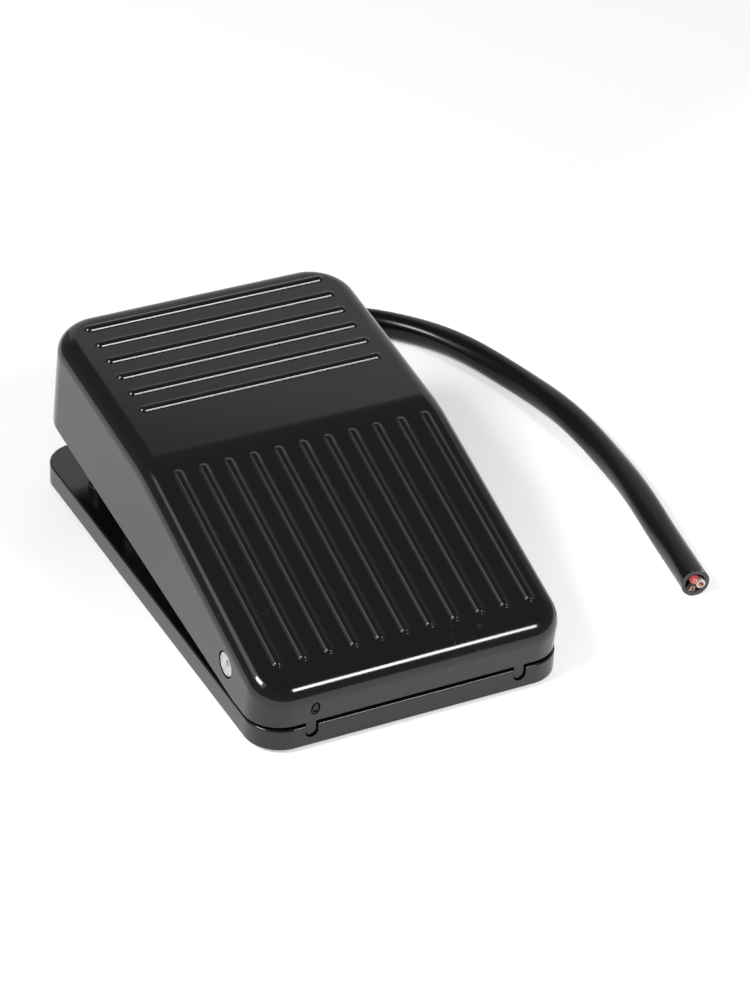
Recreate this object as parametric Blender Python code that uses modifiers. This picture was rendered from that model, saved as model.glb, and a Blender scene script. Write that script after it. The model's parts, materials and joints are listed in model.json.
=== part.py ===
"""Momentary foot pedal switch: a hinged treadle on a low base, worked by a snap-action switch.

Units are metres, +Z is up, +X is the object's right and +Y points to its back, where the cable leaves.
The origin is on the floor, under the middle of the base. The pedal is at rest, held up by its springs.
"""

import math

import bmesh
import bpy
from mathutils import Matrix, Vector

MM = 0.001
GAP = 0.3 * MM                     # smallest clearance kept between neighbouring solids
TINY = 0.01 * MM                   # tells coordinates apart
ROOT = 1.0 * MM                    # how far a feature reaches into the wall it stands on
ARCH_SEGMENTS = 6

# Overall size
WIDTH = 63.0 * MM
LENGTH = 102.0 * MM
CORNER_RADIUS = 6.9 * MM           # corners of the base and front corners of the pedal, from above
REAR_CORNER_RADIUS = 9.2 * MM      # rear corners of the pedal, from above
CORNER_SEGMENTS = 6
HALF_WIDTH = WIDTH / 2
HALF_LENGTH = LENGTH / 2

# Base: a deck with a rim below it, closed by a bottom plate on four feet
BASE_UNDERSIDE = 0.8 * MM
BASE_TOP = 5.2 * MM
BASE_WALL = 2.2 * MM
DECK_UNDERSIDE = 3.0 * MM
BASE_EDGE_CHAMFER = 0.35 * MM

# Pivot of the pedal: a steel pin across the front of the base
PIN_Y = -35.6 * MM
PIN_Z = 11.3 * MM
PIN_RADIUS = 2.45 * MM
PIN_HALF_LENGTH = 31.45 * MM
PIN_CHAMFER = 0.3 * MM
PEDAL_BOSS_RADIUS = 4.5 * MM
PEDAL_HOLE_RADIUS = 2.65 * MM
LUG_HOLE_RADIUS = 2.75 * MM
LUG_RADIUS = 4.3 * MM
LUG_INNER_X = 23.6 * MM
LUG_OUTER_X = 27.6 * MM
PIVOT = Vector((0.0, PIN_Y, PIN_Z))

# Pedal, measured from the pivot with its lower edge level, which is its pressed attitude
REST_ANGLE = math.radians(7.0)     # how far the springs hold the pedal up
PEDAL_WALL = 2.2 * MM
PEDAL_FRONT = -15.5 * MM
PEDAL_BACK = 86.55 * MM
PEDAL_BOTTOM = -5.3 * MM
PEDAL_TOP = 15.0 * MM
RIDGE_Y = 39.6 * MM
FRONT_SLOPE = math.radians(11.33)  # fall of the front tread from the ridge to the toe
RIDGE_ROUNDING = 2.65 * MM
TOP_FILLET = 3.6 * MM
FILLET_SEGMENTS = 4
FRONT_GAP = 0.35 * MM              # parting gap over the base at rest, in front of the pivot

# Tread ribs
RIB_RADIUS = 1.2 * MM
RIB_RISE = 0.55 * MM
RIB_SIDES = 8
RIB_RINGS = 6
LONG_RIBS = 11
LONG_RIB_SPACING = 5.15 * MM
LONG_RIB_FRONT = -7.75 * MM
LONG_RIB_BACK = 36.4 * MM
CROSS_RIBS = 6
CROSS_RIB_SPACING = 5.18 * MM
CROSS_RIB_LAST = 81.15 * MM
CROSS_RIB_HALF_LENGTH = 24.5 * MM
RIB_CENTRE_X = 0.4 * MM            # the rib pattern sits a little right of the middle

# Tabs under the pedal's front edge, and the notches of the base that take them
TAB_X = 21.3 * MM
TAB_HALF_WIDTH = 1.0 * MM
TAB_BOTTOM = 2.9 * MM
TAB_FRONT = -50.55 * MM
TAB_BACK = -49.25 * MM
NOTCH_HALF_WIDTH = 1.3 * MM
NOTCH_BOTTOM = 2.6 * MM
NOTCH_BACK = -48.4 * MM

# Cable, its strain relief and clamp
CABLE_RADIUS = 2.9 * MM
CABLE_STEP = 3 * CABLE_RADIUS      # between the points of the tube
GLAND_Z = 10.6 * MM
RELIEF_BORE = 3.15 * MM
WALL_FRONT = 43.0 * MM
WALL_BACK = 46.0 * MM
WALL_HALF_WIDTH = 8.2 * MM
WALL_TOP = 16.2 * MM
WALL_SLOT_HALF_WIDTH = 4.35 * MM
RELIEF_SIDES = 20
RELIEF_OUTER_MM = (                # radius and place along +Y, from the tip inwards
    (3.75, 58.1), (4.1, 54.5), (4.6, 50.5), (5.0, 47.8), (5.0, 46.3), (4.05, 46.3), (4.05, 42.7),
    (5.05, 42.7), (5.05, 40.7), (4.0, 40.7), (4.0, 37.9),
)
SKIRT_NOTCH_RADIUS = 6.4 * MM
CABLE_ROUTE_MM = (
    (0.0, 31.7, 10.6), (0.0, 45.0, 10.6), (0.0, 58.4, 10.6), (1.4, 66.2, 9.7), (5.6, 73.4, 7.9),
    (12.3, 78.7, 5.9), (20.2, 81.6, 4.2), (26.8, 82.0, 3.4), (34.5, 80.9, 3.0), (44.8, 77.4, 2.95),
    (54.3, 71.5, 2.95), (61.2, 64.2, 2.95), (65.9, 55.8, 2.95), (69.3, 46.0, 2.95),
    (71.9, 35.8, 2.95), (73.5, 25.5, 2.95), (74.0, 14.5, 2.95), (73.5, 3.5, 2.95),
    (72.3, -7.0, 2.95), (70.6, -17.8, 2.95), (68.9, -28.0, 2.95), (67.2, -37.5, 2.95),
)
CORE_RADIUS = 0.8 * MM
CORE_STUB = 1.2 * MM
INNER_WIRE_RADIUS = 0.8 * MM
INNER_WIRE_STEP = 2.4 * MM
INNER_ROUTES_MM = {
    "red": (
        (-1.15, 31.3, 11.35), (-1.4, 30.2, 11.3), (-4.4, 28.4, 10.0), (-8.2, 25.2, 7.6),
        (-9.6, 19.0, 6.5), (-9.6, 5.0, 6.4), (-9.4, -6.0, 6.9), (-7.0, -13.0, 8.9),
        (-3.2, -15.6, 10.8), (-0.3, -14.8, 11.4), (0.0, -12.85, 11.4),
    ),
    "white": ((1.15, 31.3, 11.35), (1.1, 30.0, 11.2), (0.3, 28.3, 9.8), (0.0, 26.65, 9.0)),
    "black": (
        (0.0, 31.3, 9.3), (0.5, 30.2, 9.2), (3.8, 28.4, 8.2), (8.0, 25.6, 6.9),
        (10.3, 20.0, 6.4), (10.4, 5.0, 6.4), (10.0, -6.0, 7.6), (7.4, -13.2, 12.0),
        (3.4, -15.8, 15.6), (0.4, -14.9, 16.6), (0.0, -12.85, 16.6),
    ),
}
CORE_OFFSETS_MM = {"red": (0.47, 1.29), "white": (-1.35, -0.24), "black": (0.88, -1.05)}
CLAMP_FRONT = 33.0 * MM
CLAMP_BACK = 36.8 * MM
CLAMP_SEAT_TOP = 7.3 * MM
CLAMP_HALF_WIDTH = 9.6 * MM
CLAMP_FOOT = 1.6 * MM
CLAMP_BAND = 1.5 * MM
CLAMP_SCREW_X = 7.3 * MM
CLAMP_SCREW_TIP = 4.9 * MM

# Switch: a snap-action body with its lever hinged at the back
SWITCH_FRONT = -7.0 * MM
SWITCH_BACK = 20.8 * MM
SWITCH_BOTTOM = 5.5 * MM
SWITCH_TOP = 21.4 * MM
SWITCH_HALF_THICKNESS = 5.15 * MM
COVER_THICKNESS = 1.25 * MM
CHAMBER_FRONT = -2.3 * MM
CHAMBER_BACK = 15.9 * MM
CHAMBER_BOTTOM = 7.3 * MM
CHAMBER_TOP = 19.7 * MM
CHAMBER_HALF_DEPTH = 3.6 * MM
SWITCH_SCREWS_MM = ((-4.65, 8.0), (18.2, 17.6))
BRACKET_THICKNESS = 3.0 * MM
BRACKET_TOP = 20.0 * MM
LEVER_Y = 19.0 * MM
LEVER_Z = 22.5 * MM
LEVER_THICKNESS = 0.5 * MM
LEVER_HALF_WIDTH = 2.0 * MM
LEVER_LENGTH = 21.5 * MM
LEVER_REST = math.radians(10.2)
LEVER_BARREL = 0.75 * MM
LEVER_STUB = 0.5 * MM
LEVER_STUB_END = 3.3 * MM
LEVER_LUG_INNER = 2.4 * MM
LEVER_LUG_RADIUS = 1.1 * MM
LEVER_LUG_HOLE = 0.85 * MM
PLUNGER_Y = 11.5 * MM
PLUNGER_RADIUS = 1.5 * MM
PLUNGER_TOP = 23.0 * MM
PLUNGER_FOOT = 16.3 * MM
PLUNGER_COLLAR = (18.2 * MM, 19.3 * MM)
PLUNGER_COLLAR_RADIUS = 2.2 * MM
TERMINAL_THICKNESS = 0.8 * MM
TERMINAL_HALF_WIDTH = 2.4 * MM
COMMON_Z = 9.0 * MM
NORMALLY_OPEN_Z = 11.4 * MM
NORMALLY_CLOSED_Z = 16.6 * MM
CONTACT_Y = 0.9 * MM
CONTACT_RADIUS = 1.0 * MM
CONTACT_HEIGHT = 0.7 * MM
BLADE_Y = 14.4 * MM
BLADE_Z = 14.25 * MM
BLADE_THICKNESS = 0.4 * MM
BLADE_HALF_WIDTH = 1.6 * MM
BLADE_BARREL = 0.55 * MM
BLADE_CONTACT = (13.6 * MM, 15.2 * MM)
TERMINAL_OUT = 5.5 * MM            # how far each terminal stands out of the switch
COMMON_POST = (14.0 * MM, 14.8 * MM)
COMMON_POST_TOP = 13.3 * MM
FIXED_CONTACT_INNER_END = 2.2 * MM
ACTUATOR_Y = 35.9 * MM             # pad under the pedal that presses the lever, from the pivot
ACTUATOR_Z = 12.72 * MM
ACTUATOR_RADIUS = 1.5 * MM
ACTUATOR_HALF_WIDTH = 3.0 * MM

# Return springs
SPRING_X = 18.0 * MM
SPRING_Y = 26.0 * MM
SPRING_COIL_RADIUS = 5.0 * MM
SPRING_WIRE_RADIUS = 0.5 * MM
SPRING_TURNS = 6.5
SPRING_POINTS_PER_TURN = 12
SPRING_POST_RADIUS = 3.8 * MM
SPRING_POST_HEIGHT = 4.0 * MM
SPRING_END_PITCH = 1.12 * MM
SPRING_CUP_Y = 63.6 * MM           # from the pivot
SPRING_CUP_REACH = 2.2 * MM        # extra length of the cup: it slides back over the coil as the pedal swings
SPRING_CUP_RADIUS = 6.1 * MM
SPRING_CUP_WALL = 1.3 * MM
SPRING_CUP_DEPTH = 2.5 * MM
SPRING_SEAT = PEDAL_TOP - PEDAL_WALL + 0.2 * MM    # the seat in each cup is sunk into the roof

# Bottom plate, feet and screws
PLATE_UNDERSIDE = 0.9 * MM
PLATE_TOP = 2.3 * MM
FOOT_X = 23.0 * MM
FOOT_Y = 41.5 * MM
FOOT_RADIUS = 4.5 * MM
FOOT_HEIGHT = 1.35 * MM
FOOT_RECESS_TOP = 1.7 * MM
PLATE_SCREW_PLACES = {
    "front_left": (-24.0 * MM, -19.5 * MM), "front_right": (24.0 * MM, -19.5 * MM),
    "rear_left": (-25.5 * MM, 33.0 * MM), "rear_right": (25.5 * MM, 33.0 * MM),
}
PLATE_SCREW_TIP = 6.6 * MM
PLATE_HEAD_RECESS_TOP = 1.9 * MM
SCREW_RADIUS = 1.25 * MM
SCREW_HOLE_RADIUS = SCREW_RADIUS + 0.35 * MM
SCREW_HEAD_RADIUS = 2.1 * MM
SCREW_HEAD_ROOT = 0.2 * MM         # how far the shank starts inside the head
SWITCH_HEAD_HEIGHT = 1.1 * MM
SCREW_SIDES = 16
BOSS_RADIUS = 3.0 * MM
BOSS_TOP = 7.4 * MM


def clear_scene():
    for old in list(bpy.data.objects):
        bpy.data.objects.remove(old)


def new_collection(name):
    collection = bpy.data.collections.new(name)
    bpy.context.scene.collection.children.link(collection)
    return collection


def new_material(name, color, roughness, metallic=0.0):
    material = bpy.data.materials.new(name)
    material.use_nodes = True
    shader = material.node_tree.nodes["Principled BSDF"]
    shader.inputs["Base Color"].default_value = (*color, 1.0)
    shader.inputs["Roughness"].default_value = roughness
    shader.inputs["Metallic"].default_value = metallic
    return material


# ---- shapes added to a bmesh ----


def add_box(bm, low, high):
    """A box between two corners. Returns its vertices."""
    low, high = Vector(low), Vector(high)
    place = Matrix.Translation((low + high) / 2) @ Matrix.Diagonal((*(high - low), 1.0))
    return bmesh.ops.create_cube(bm, size=1.0, matrix=place)["verts"]


def add_rod(bm, start, end, radius, end_radius=None, sides=24):
    """A round bar or cone between two points."""
    start, end = Vector(start), Vector(end)
    axis = end - start
    place = Matrix.Translation((start + end) / 2) @ axis.to_track_quat("Z", "Y").to_matrix().to_4x4()
    bmesh.ops.create_cone(
        bm, cap_ends=True, segments=sides, radius1=radius,
        radius2=radius if end_radius is None else end_radius, depth=axis.length, matrix=place,
    )


def add_oval_bar(bm, x, front, back, low, high, radius, sides=12):
    """An upright bar whose section has straight sides along Y and round ends."""
    rings = []
    for z in (low, high):
        ring = []
        for y, turn in ((back, 0.0), (front, math.pi)):
            for step in range(sides + 1):
                angle = turn + math.pi * step / sides
                ring.append(bm.verts.new((x + radius * math.cos(angle), y + radius * math.sin(angle), z)))
        rings.append(ring)
    lower, upper = rings
    for step in range(len(lower)):
        after = (step + 1) % len(lower)
        bm.faces.new((lower[step], lower[after], upper[after], upper[step]))
    bm.faces.new(lower[::-1])
    bm.faces.new(upper)


def bevel_edges(bm, edges, width, segments):
    bmesh.ops.bevel(
        bm, geom=edges, offset=width, offset_type="OFFSET", segments=segments, profile=0.5,
        affect="EDGES", clamp_overlap=False,
    )


def add_slab(bm, half_x, half_y, bottom, top, radius, top_chamfer=0.0):
    """A plate with rounded corners, seen from above, and an optional chamfer around its top."""
    add_box(bm, (-half_x, -half_y, bottom), (half_x, half_y, top))
    upright = [e for e in bm.edges if (e.verts[0].co - e.verts[1].co).xy.length < TINY]
    bevel_edges(bm, upright, radius, CORNER_SEGMENTS)
    if top_chamfer:
        rim = [e for e in bm.edges if all(v.co.z > top - TINY for v in e.verts)]
        bevel_edges(bm, rim, top_chamfer, 1)


def add_capsule(bm, start, end, radius):
    """A bar with round ends: a sphere whose two halves are moved apart."""
    axis = end - start
    direction = axis.normalized()
    centre = (start + end) / 2
    place = Matrix.Translation(centre) @ axis.to_track_quat("Z", "Y").to_matrix().to_4x4()
    ball = bmesh.ops.create_uvsphere(
        bm, u_segments=RIB_SIDES, v_segments=RIB_RINGS, radius=radius, matrix=place
    )
    for vertex in ball["verts"]:
        offset = (vertex.co - centre).dot(direction)
        if abs(offset) > radius / 100:
            vertex.co += axis / 2 * math.copysign(1.0, offset)


def trim(bm, point, normal):
    """Cuts away everything on the side the normal points to, and closes the cut."""
    cut = bmesh.ops.bisect_plane(
        bm, geom=bm.verts[:] + bm.edges[:] + bm.faces[:], plane_co=point, plane_no=normal,
        clear_outer=True,
    )
    rim = [item for item in cut["geom_cut"] if isinstance(item, bmesh.types.BMEdge)]
    bmesh.ops.contextual_create(bm, geom=rim)
    bmesh.ops.recalc_face_normals(bm, faces=bm.faces)


# ---- objects ----


def new_part(name, bm, material, location=(0.0, 0.0, 0.0), tilt=0.0, smooth=None):
    """Turns a bmesh into a named object. smooth is the angle, in degrees, that stays a sharp edge."""
    mesh = bpy.data.meshes.new(name)
    bm.to_mesh(mesh)
    bm.free()
    mesh.materials.append(material)
    if smooth:
        mesh.shade_smooth()
        mesh.set_sharp_from_angle(angle=math.radians(smooth))
    part = bpy.data.objects.new(name, mesh)
    part.location = location
    part.rotation_euler.x = tilt
    PARTS.objects.link(part)
    return part


def combine(part, bm, operation):
    """Joins a shape to a part, or cuts it out. The shape is given in the part's own axes."""
    name = f"{part.name}_{operation.lower()}_{len(part.modifiers)}"
    mesh = bpy.data.meshes.new(name)
    bm.to_mesh(mesh)
    bm.free()
    tool = bpy.data.objects.new(name, mesh)
    tool.location = part.location
    tool.rotation_euler = part.rotation_euler
    tool.hide_render = True
    tool.display_type = "WIRE"
    CUTTERS.objects.link(tool)
    modifier = part.modifiers.new(name, "BOOLEAN")
    modifier.operation = operation
    modifier.object = tool


def wire_part(name, points, radius, material, resolution=2):
    """A round wire through the given points."""
    curve = bpy.data.curves.new(name, "CURVE")
    curve.dimensions = "3D"
    curve.bevel_depth = radius
    curve.bevel_resolution = resolution
    curve.use_fill_caps = True
    spline = curve.splines.new("POLY")
    spline.points.add(len(points) - 1)
    for target, point in zip(spline.points, points):
        target.co = (*point, 1.0)
    curve.materials.append(material)
    part = bpy.data.objects.new(name, curve)
    PARTS.objects.link(part)
    return part


def smooth_points(route, spacing):
    """Evenly spaced points on a smooth curve through the route's points."""
    padded = [2 * route[0] - route[1], *route, 2 * route[-1] - route[-2]]
    fine = []
    for before, start, end, after in zip(padded, padded[1:], padded[2:], padded[3:]):
        for step in range(16):
            t = step / 16
            fine.append(0.5 * (
                2 * start + (end - before) * t + (2 * before - 5 * start + 4 * end - after) * t ** 2
                + (3 * start - before - 3 * end + after) * t ** 3
            ))
    fine.append(route[-1])
    travelled = [0.0]
    for start, end in zip(fine, fine[1:]):
        travelled.append(travelled[-1] + (end - start).length)
    count = max(2, round(travelled[-1] / spacing))
    points = []
    place = 0
    for index in range(count + 1):
        wanted = travelled[-1] * index / count
        while place < len(fine) - 2 and travelled[place + 1] < wanted:
            place += 1
        share = (wanted - travelled[place]) / (travelled[place + 1] - travelled[place])
        points.append(fine[place].lerp(fine[place + 1], min(1.0, share)))
    return points


def to_metres(route_mm):
    return [Vector(point) * MM for point in route_mm]


# ---- base ----


def add_mesh(bm, other):
    """Moves one bmesh's shapes into another."""
    carrier = bpy.data.meshes.new("carrier")
    other.to_mesh(carrier)
    other.free()
    bm.from_mesh(carrier)
    bpy.data.meshes.remove(carrier)


def add_arched_block(bm, low, high, along, at_top=True):
    """A block with one end round over its whole width, seen along X (0) or Y (1)."""
    block = bmesh.new()
    add_box(block, low, high)
    across = 1 - along
    end = high[2] if at_top else low[2]
    edges = [
        e for e in block.edges
        if all(abs(v.co.z - end) < TINY for v in e.verts)
        and abs(e.verts[0].co[across] - e.verts[1].co[across]) < TINY
    ]
    bevel_edges(block, edges, (high[across] - low[across]) / 2 - TINY, ARCH_SEGMENTS)
    add_mesh(bm, block)


def pivot_lugs(bm):
    """Two round-topped lugs that carry the pin."""
    for side in (-1, 1):
        inner, outer = sorted((side * LUG_INNER_X, side * LUG_OUTER_X))
        low = (inner, PIN_Y - LUG_RADIUS, BASE_TOP - ROOT)
        add_arched_block(bm, low, (outer, PIN_Y + LUG_RADIUS, PIN_Z + LUG_RADIUS), along=0)


def switch_bracket(bm):
    """The upright wall that the switch is screwed to."""
    inner = SWITCH_HALF_THICKNESS + GAP
    outer = inner + BRACKET_THICKNESS
    add_box(bm, (inner, SWITCH_FRONT, BASE_TOP - ROOT), (outer, SWITCH_BACK, BRACKET_TOP))


def cable_wall(bm):
    """The rear wall whose open slot grips the strain relief."""
    low = (-WALL_HALF_WIDTH, WALL_FRONT, BASE_TOP - ROOT)
    add_box(bm, low, (WALL_HALF_WIDTH, WALL_BACK, WALL_TOP))


def clamp_seat(bm):
    low = (-CLAMP_HALF_WIDTH, CLAMP_FRONT, BASE_TOP - ROOT)
    add_box(bm, low, (CLAMP_HALF_WIDTH, CLAMP_BACK, CLAMP_SEAT_TOP))


def deck_posts(bm):
    """Posts inside the return springs, and bosses over the bottom plate's screws."""
    root = BASE_TOP - ROOT
    for x in (-SPRING_X, SPRING_X):
        top = BASE_TOP + SPRING_POST_HEIGHT
        add_rod(bm, (x, SPRING_Y, root), (x, SPRING_Y, top), SPRING_POST_RADIUS, sides=20)
    for x, y in PLATE_SCREW_PLACES.values():
        add_rod(bm, (x, y, root), (x, y, BOSS_TOP), BOSS_RADIUS, sides=SCREW_SIDES)


def base_holes(bm):
    """Pin holes, the strain relief's slot, blind screw holes and the notches in the front wall."""
    add_rod(bm, (-HALF_WIDTH, PIN_Y, PIN_Z), (HALF_WIDTH, PIN_Y, PIN_Z), LUG_HOLE_RADIUS)
    slot = WALL_SLOT_HALF_WIDTH
    low = (-slot, WALL_FRONT - ROOT, GLAND_Z - slot)
    high = (slot, WALL_BACK + ROOT, WALL_TOP + ROOT)
    add_arched_block(bm, low, high, along=1, at_top=False)
    for x, y in PLATE_SCREW_PLACES.values():
        top = PLATE_SCREW_TIP + GAP
        add_rod(bm, (x, y, PLATE_TOP), (x, y, top), SCREW_HOLE_RADIUS, sides=SCREW_SIDES)
    for x in (-CLAMP_SCREW_X, CLAMP_SCREW_X):
        y = (CLAMP_FRONT + CLAMP_BACK) / 2
        bottom = CLAMP_SCREW_TIP - GAP
        add_rod(bm, (x, y, bottom), (x, y, CLAMP_SEAT_TOP + ROOT), SCREW_HOLE_RADIUS, sides=SCREW_SIDES)
    for y, z in to_metres_2d(SWITCH_SCREWS_MM):
        start = (SWITCH_HALF_THICKNESS, y, z)
        end = (SWITCH_HALF_THICKNESS + BRACKET_THICKNESS + ROOT, y, z)
        add_rod(bm, start, end, SCREW_HOLE_RADIUS, sides=SCREW_SIDES)
    for x in (-TAB_X, TAB_X):
        low = (x - NOTCH_HALF_WIDTH, -HALF_LENGTH - ROOT, NOTCH_BOTTOM)
        high = (x + NOTCH_HALF_WIDTH, NOTCH_BACK, BASE_TOP + ROOT)
        add_arched_block(bm, low, high, along=1, at_top=False)


def base_housing():
    bm = bmesh.new()
    add_slab(bm, HALF_WIDTH, HALF_LENGTH, BASE_UNDERSIDE, BASE_TOP, CORNER_RADIUS, BASE_EDGE_CHAMFER)
    base = new_part("base_housing", bm, BLACK_PLASTIC, smooth=30)
    hollow = bmesh.new()
    inner_x, inner_y = HALF_WIDTH - BASE_WALL, HALF_LENGTH - BASE_WALL
    inner_radius = CORNER_RADIUS - BASE_WALL
    add_slab(hollow, inner_x, inner_y, BASE_UNDERSIDE - ROOT, DECK_UNDERSIDE, inner_radius)
    combine(base, hollow, "DIFFERENCE")
    features = bmesh.new()
    for add_feature in (pivot_lugs, switch_bracket, cable_wall, clamp_seat, deck_posts):
        add_feature(features)
    combine(base, features, "UNION")
    holes = bmesh.new()
    base_holes(holes)
    combine(base, holes, "DIFFERENCE")


def bottom_plate():
    bm = bmesh.new()
    inset = BASE_WALL + GAP
    half_x, half_y = HALF_WIDTH - inset, HALF_LENGTH - inset
    add_slab(bm, half_x, half_y, PLATE_UNDERSIDE, PLATE_TOP, CORNER_RADIUS - inset)
    plate = new_part("bottom_plate", bm, BLACK_PLASTIC)
    recesses = bmesh.new()
    below = PLATE_UNDERSIDE - ROOT
    for x, y in foot_places().values():
        radius = FOOT_RADIUS + GAP
        add_rod(recesses, (x, y, below), (x, y, FOOT_RECESS_TOP), radius)
    for x, y in PLATE_SCREW_PLACES.values():
        radius = SCREW_HEAD_RADIUS + GAP
        add_rod(recesses, (x, y, below), (x, y, PLATE_HEAD_RECESS_TOP), radius, sides=SCREW_SIDES)
    combine(plate, recesses, "DIFFERENCE")
    holes = bmesh.new()
    for x, y in PLATE_SCREW_PLACES.values():
        top = PLATE_TOP + ROOT
        add_rod(holes, (x, y, below), (x, y, top), SCREW_HOLE_RADIUS, sides=SCREW_SIDES)
    combine(plate, holes, "DIFFERENCE")


def foot_places():
    return {
        f"{end}_{side}": (x, y)
        for end, y in (("front", -FOOT_Y), ("rear", FOOT_Y))
        for side, x in (("left", -FOOT_X), ("right", FOOT_X))
    }


def rubber_feet():
    for place, (x, y) in foot_places().items():
        bm = bmesh.new()
        add_rod(bm, (x, y, 0.0), (x, y, FOOT_HEIGHT), FOOT_RADIUS)
        new_part(f"rubber_foot_{place}", bm, RUBBER, smooth=40)


def screw(name, head_end, head_base, tip):
    """A pan-headed screw: its head and shank as one body."""
    direction = (Vector(tip) - Vector(head_base)).normalized()
    bm = bmesh.new()
    add_rod(bm, head_end, head_base, SCREW_HEAD_RADIUS, sides=SCREW_SIDES)
    part = new_part(name, bm, STEEL, smooth=40)
    shank = bmesh.new()
    start = Vector(head_base) - direction * SCREW_HEAD_ROOT
    add_rod(shank, start, tip, SCREW_RADIUS, sides=SCREW_SIDES)
    combine(part, shank, "UNION")


def plate_screws():
    for place, (x, y) in PLATE_SCREW_PLACES.items():
        head_end = (x, y, PLATE_UNDERSIDE + TINY)
        head_base = (x, y, PLATE_HEAD_RECESS_TOP - GAP)
        screw(f"plate_screw_{place}", head_end, head_base, (x, y, PLATE_SCREW_TIP))


def pivot_pin():
    bm = bmesh.new()
    add_rod(bm, (-PIN_HALF_LENGTH, 0, 0), (PIN_HALF_LENGTH, 0, 0), PIN_RADIUS)
    ends = [e for e in bm.edges if abs(e.verts[0].co.x - e.verts[1].co.x) < TINY]
    bevel_edges(bm, ends, PIN_CHAMFER, 1)
    new_part("pivot_pin", bm, STEEL, location=PIVOT, smooth=40)


# ---- pedal ----


def in_pedal_axes(point):
    """A point of the resting assembly, measured from the pivot in the pedal's own axes."""
    return Matrix.Rotation(-REST_ANGLE, 3, "X") @ (Vector(point) - PIVOT)


def pedal_blank():
    """The pedal's outside, open below: a block cut by the front tread's slope, with rounded edges."""
    bm = bmesh.new()
    add_box(bm, (-HALF_WIDTH, PEDAL_FRONT, PEDAL_BOTTOM), (HALF_WIDTH, PEDAL_BACK, PEDAL_TOP))
    upward = Vector((0.0, -math.sin(FRONT_SLOPE), math.cos(FRONT_SLOPE)))
    trim(bm, Vector((0.0, RIDGE_Y, PEDAL_TOP)), upward)
    downward = Vector((0.0, -math.sin(REST_ANGLE), -math.cos(REST_ANGLE)))
    trim(bm, in_pedal_axes((0.0, PIN_Y, BASE_TOP + FRONT_GAP)), downward)
    ridge = [
        e for e in bm.edges
        if all(abs(v.co.y - RIDGE_Y) < TINY and abs(v.co.z - PEDAL_TOP) < TINY for v in e.verts)
    ]
    bevel_edges(bm, ridge, RIDGE_ROUNDING, 3)
    upright = [
        e for e in bm.edges
        if (e.verts[0].co - e.verts[1].co).xy.length < TINY and abs(e.verts[0].co.x) > HALF_WIDTH - TINY
    ]
    front = [e for e in upright if e.verts[0].co.y < 0]
    rear = [e for e in upright if e.verts[0].co.y > 0]
    bevel_edges(bm, front, CORNER_RADIUS, CORNER_SEGMENTS)
    bevel_edges(bm, rear, REAR_CORNER_RADIUS, CORNER_SEGMENTS)
    bm.normal_update()
    rim = [
        e for e in bm.edges
        if max(f.normal.z for f in e.link_faces) > 0.7
        and abs(min((f.normal.z for f in e.link_faces), key=abs)) < 0.3
    ]
    bevel_edges(bm, rim, TOP_FILLET, FILLET_SEGMENTS)
    bm.normal_update()
    underside = [f for f in bm.faces if f.normal.z < -0.7]
    bmesh.ops.delete(bm, geom=underside, context="FACES")
    return bm


def tread_ribs(bm):
    """Beads along the front tread and across the rear tread."""
    sink = RIB_RADIUS - RIB_RISE
    for index in range(LONG_RIBS):
        x = RIB_CENTRE_X + (index - (LONG_RIBS - 1) / 2) * LONG_RIB_SPACING
        start, end = (
            Vector((x, y, PEDAL_TOP - (RIDGE_Y - y) * math.tan(FRONT_SLOPE) - sink))
            for y in (LONG_RIB_FRONT, LONG_RIB_BACK)
        )
        add_capsule(bm, start, end, RIB_RADIUS)
    for index in range(CROSS_RIBS):
        y = CROSS_RIB_LAST - index * CROSS_RIB_SPACING
        start = Vector((RIB_CENTRE_X - CROSS_RIB_HALF_LENGTH, y, PEDAL_TOP - sink))
        add_capsule(bm, start, start + Vector((2 * CROSS_RIB_HALF_LENGTH, 0.0, 0.0)), RIB_RADIUS)


def pedal_underside(bm):
    """Pin bosses, spring cups, the pad over the switch and the two front tabs."""
    inside = HALF_WIDTH - PEDAL_WALL
    for side in (-1, 1):
        outer = side * (inside + PEDAL_WALL / 2)
        inner = side * (LUG_OUTER_X + GAP)
        add_rod(bm, (outer, 0.0, 0.0), (inner, 0.0, 0.0), PEDAL_BOSS_RADIUS)
        top = PEDAL_TOP - PEDAL_WALL / 2
        bottom = PEDAL_TOP - PEDAL_WALL - SPRING_CUP_DEPTH
        front = SPRING_CUP_Y - SPRING_CUP_REACH
        outer_radius = SPRING_CUP_RADIUS + SPRING_CUP_WALL
        add_oval_bar(bm, side * SPRING_X, front, SPRING_CUP_Y, bottom, top, outer_radius)
    pad = Vector((ACTUATOR_HALF_WIDTH, 0.0, 0.0))
    centre = Vector((0.0, ACTUATOR_Y, ACTUATOR_Z))
    add_rod(bm, centre - pad, centre + pad, ACTUATOR_RADIUS, sides=16)
    tabs = bmesh.new()
    for x in (-TAB_X, TAB_X):
        low = (x - TAB_HALF_WIDTH, TAB_FRONT, TAB_BOTTOM)
        high = (x + TAB_HALF_WIDTH, TAB_BACK, BASE_TOP + FRONT_GAP + ROOT)
        add_arched_block(tabs, low, high, along=1, at_top=False)
    for vertex in tabs.verts:
        vertex.co = in_pedal_axes(vertex.co)
    add_mesh(bm, tabs)


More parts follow.
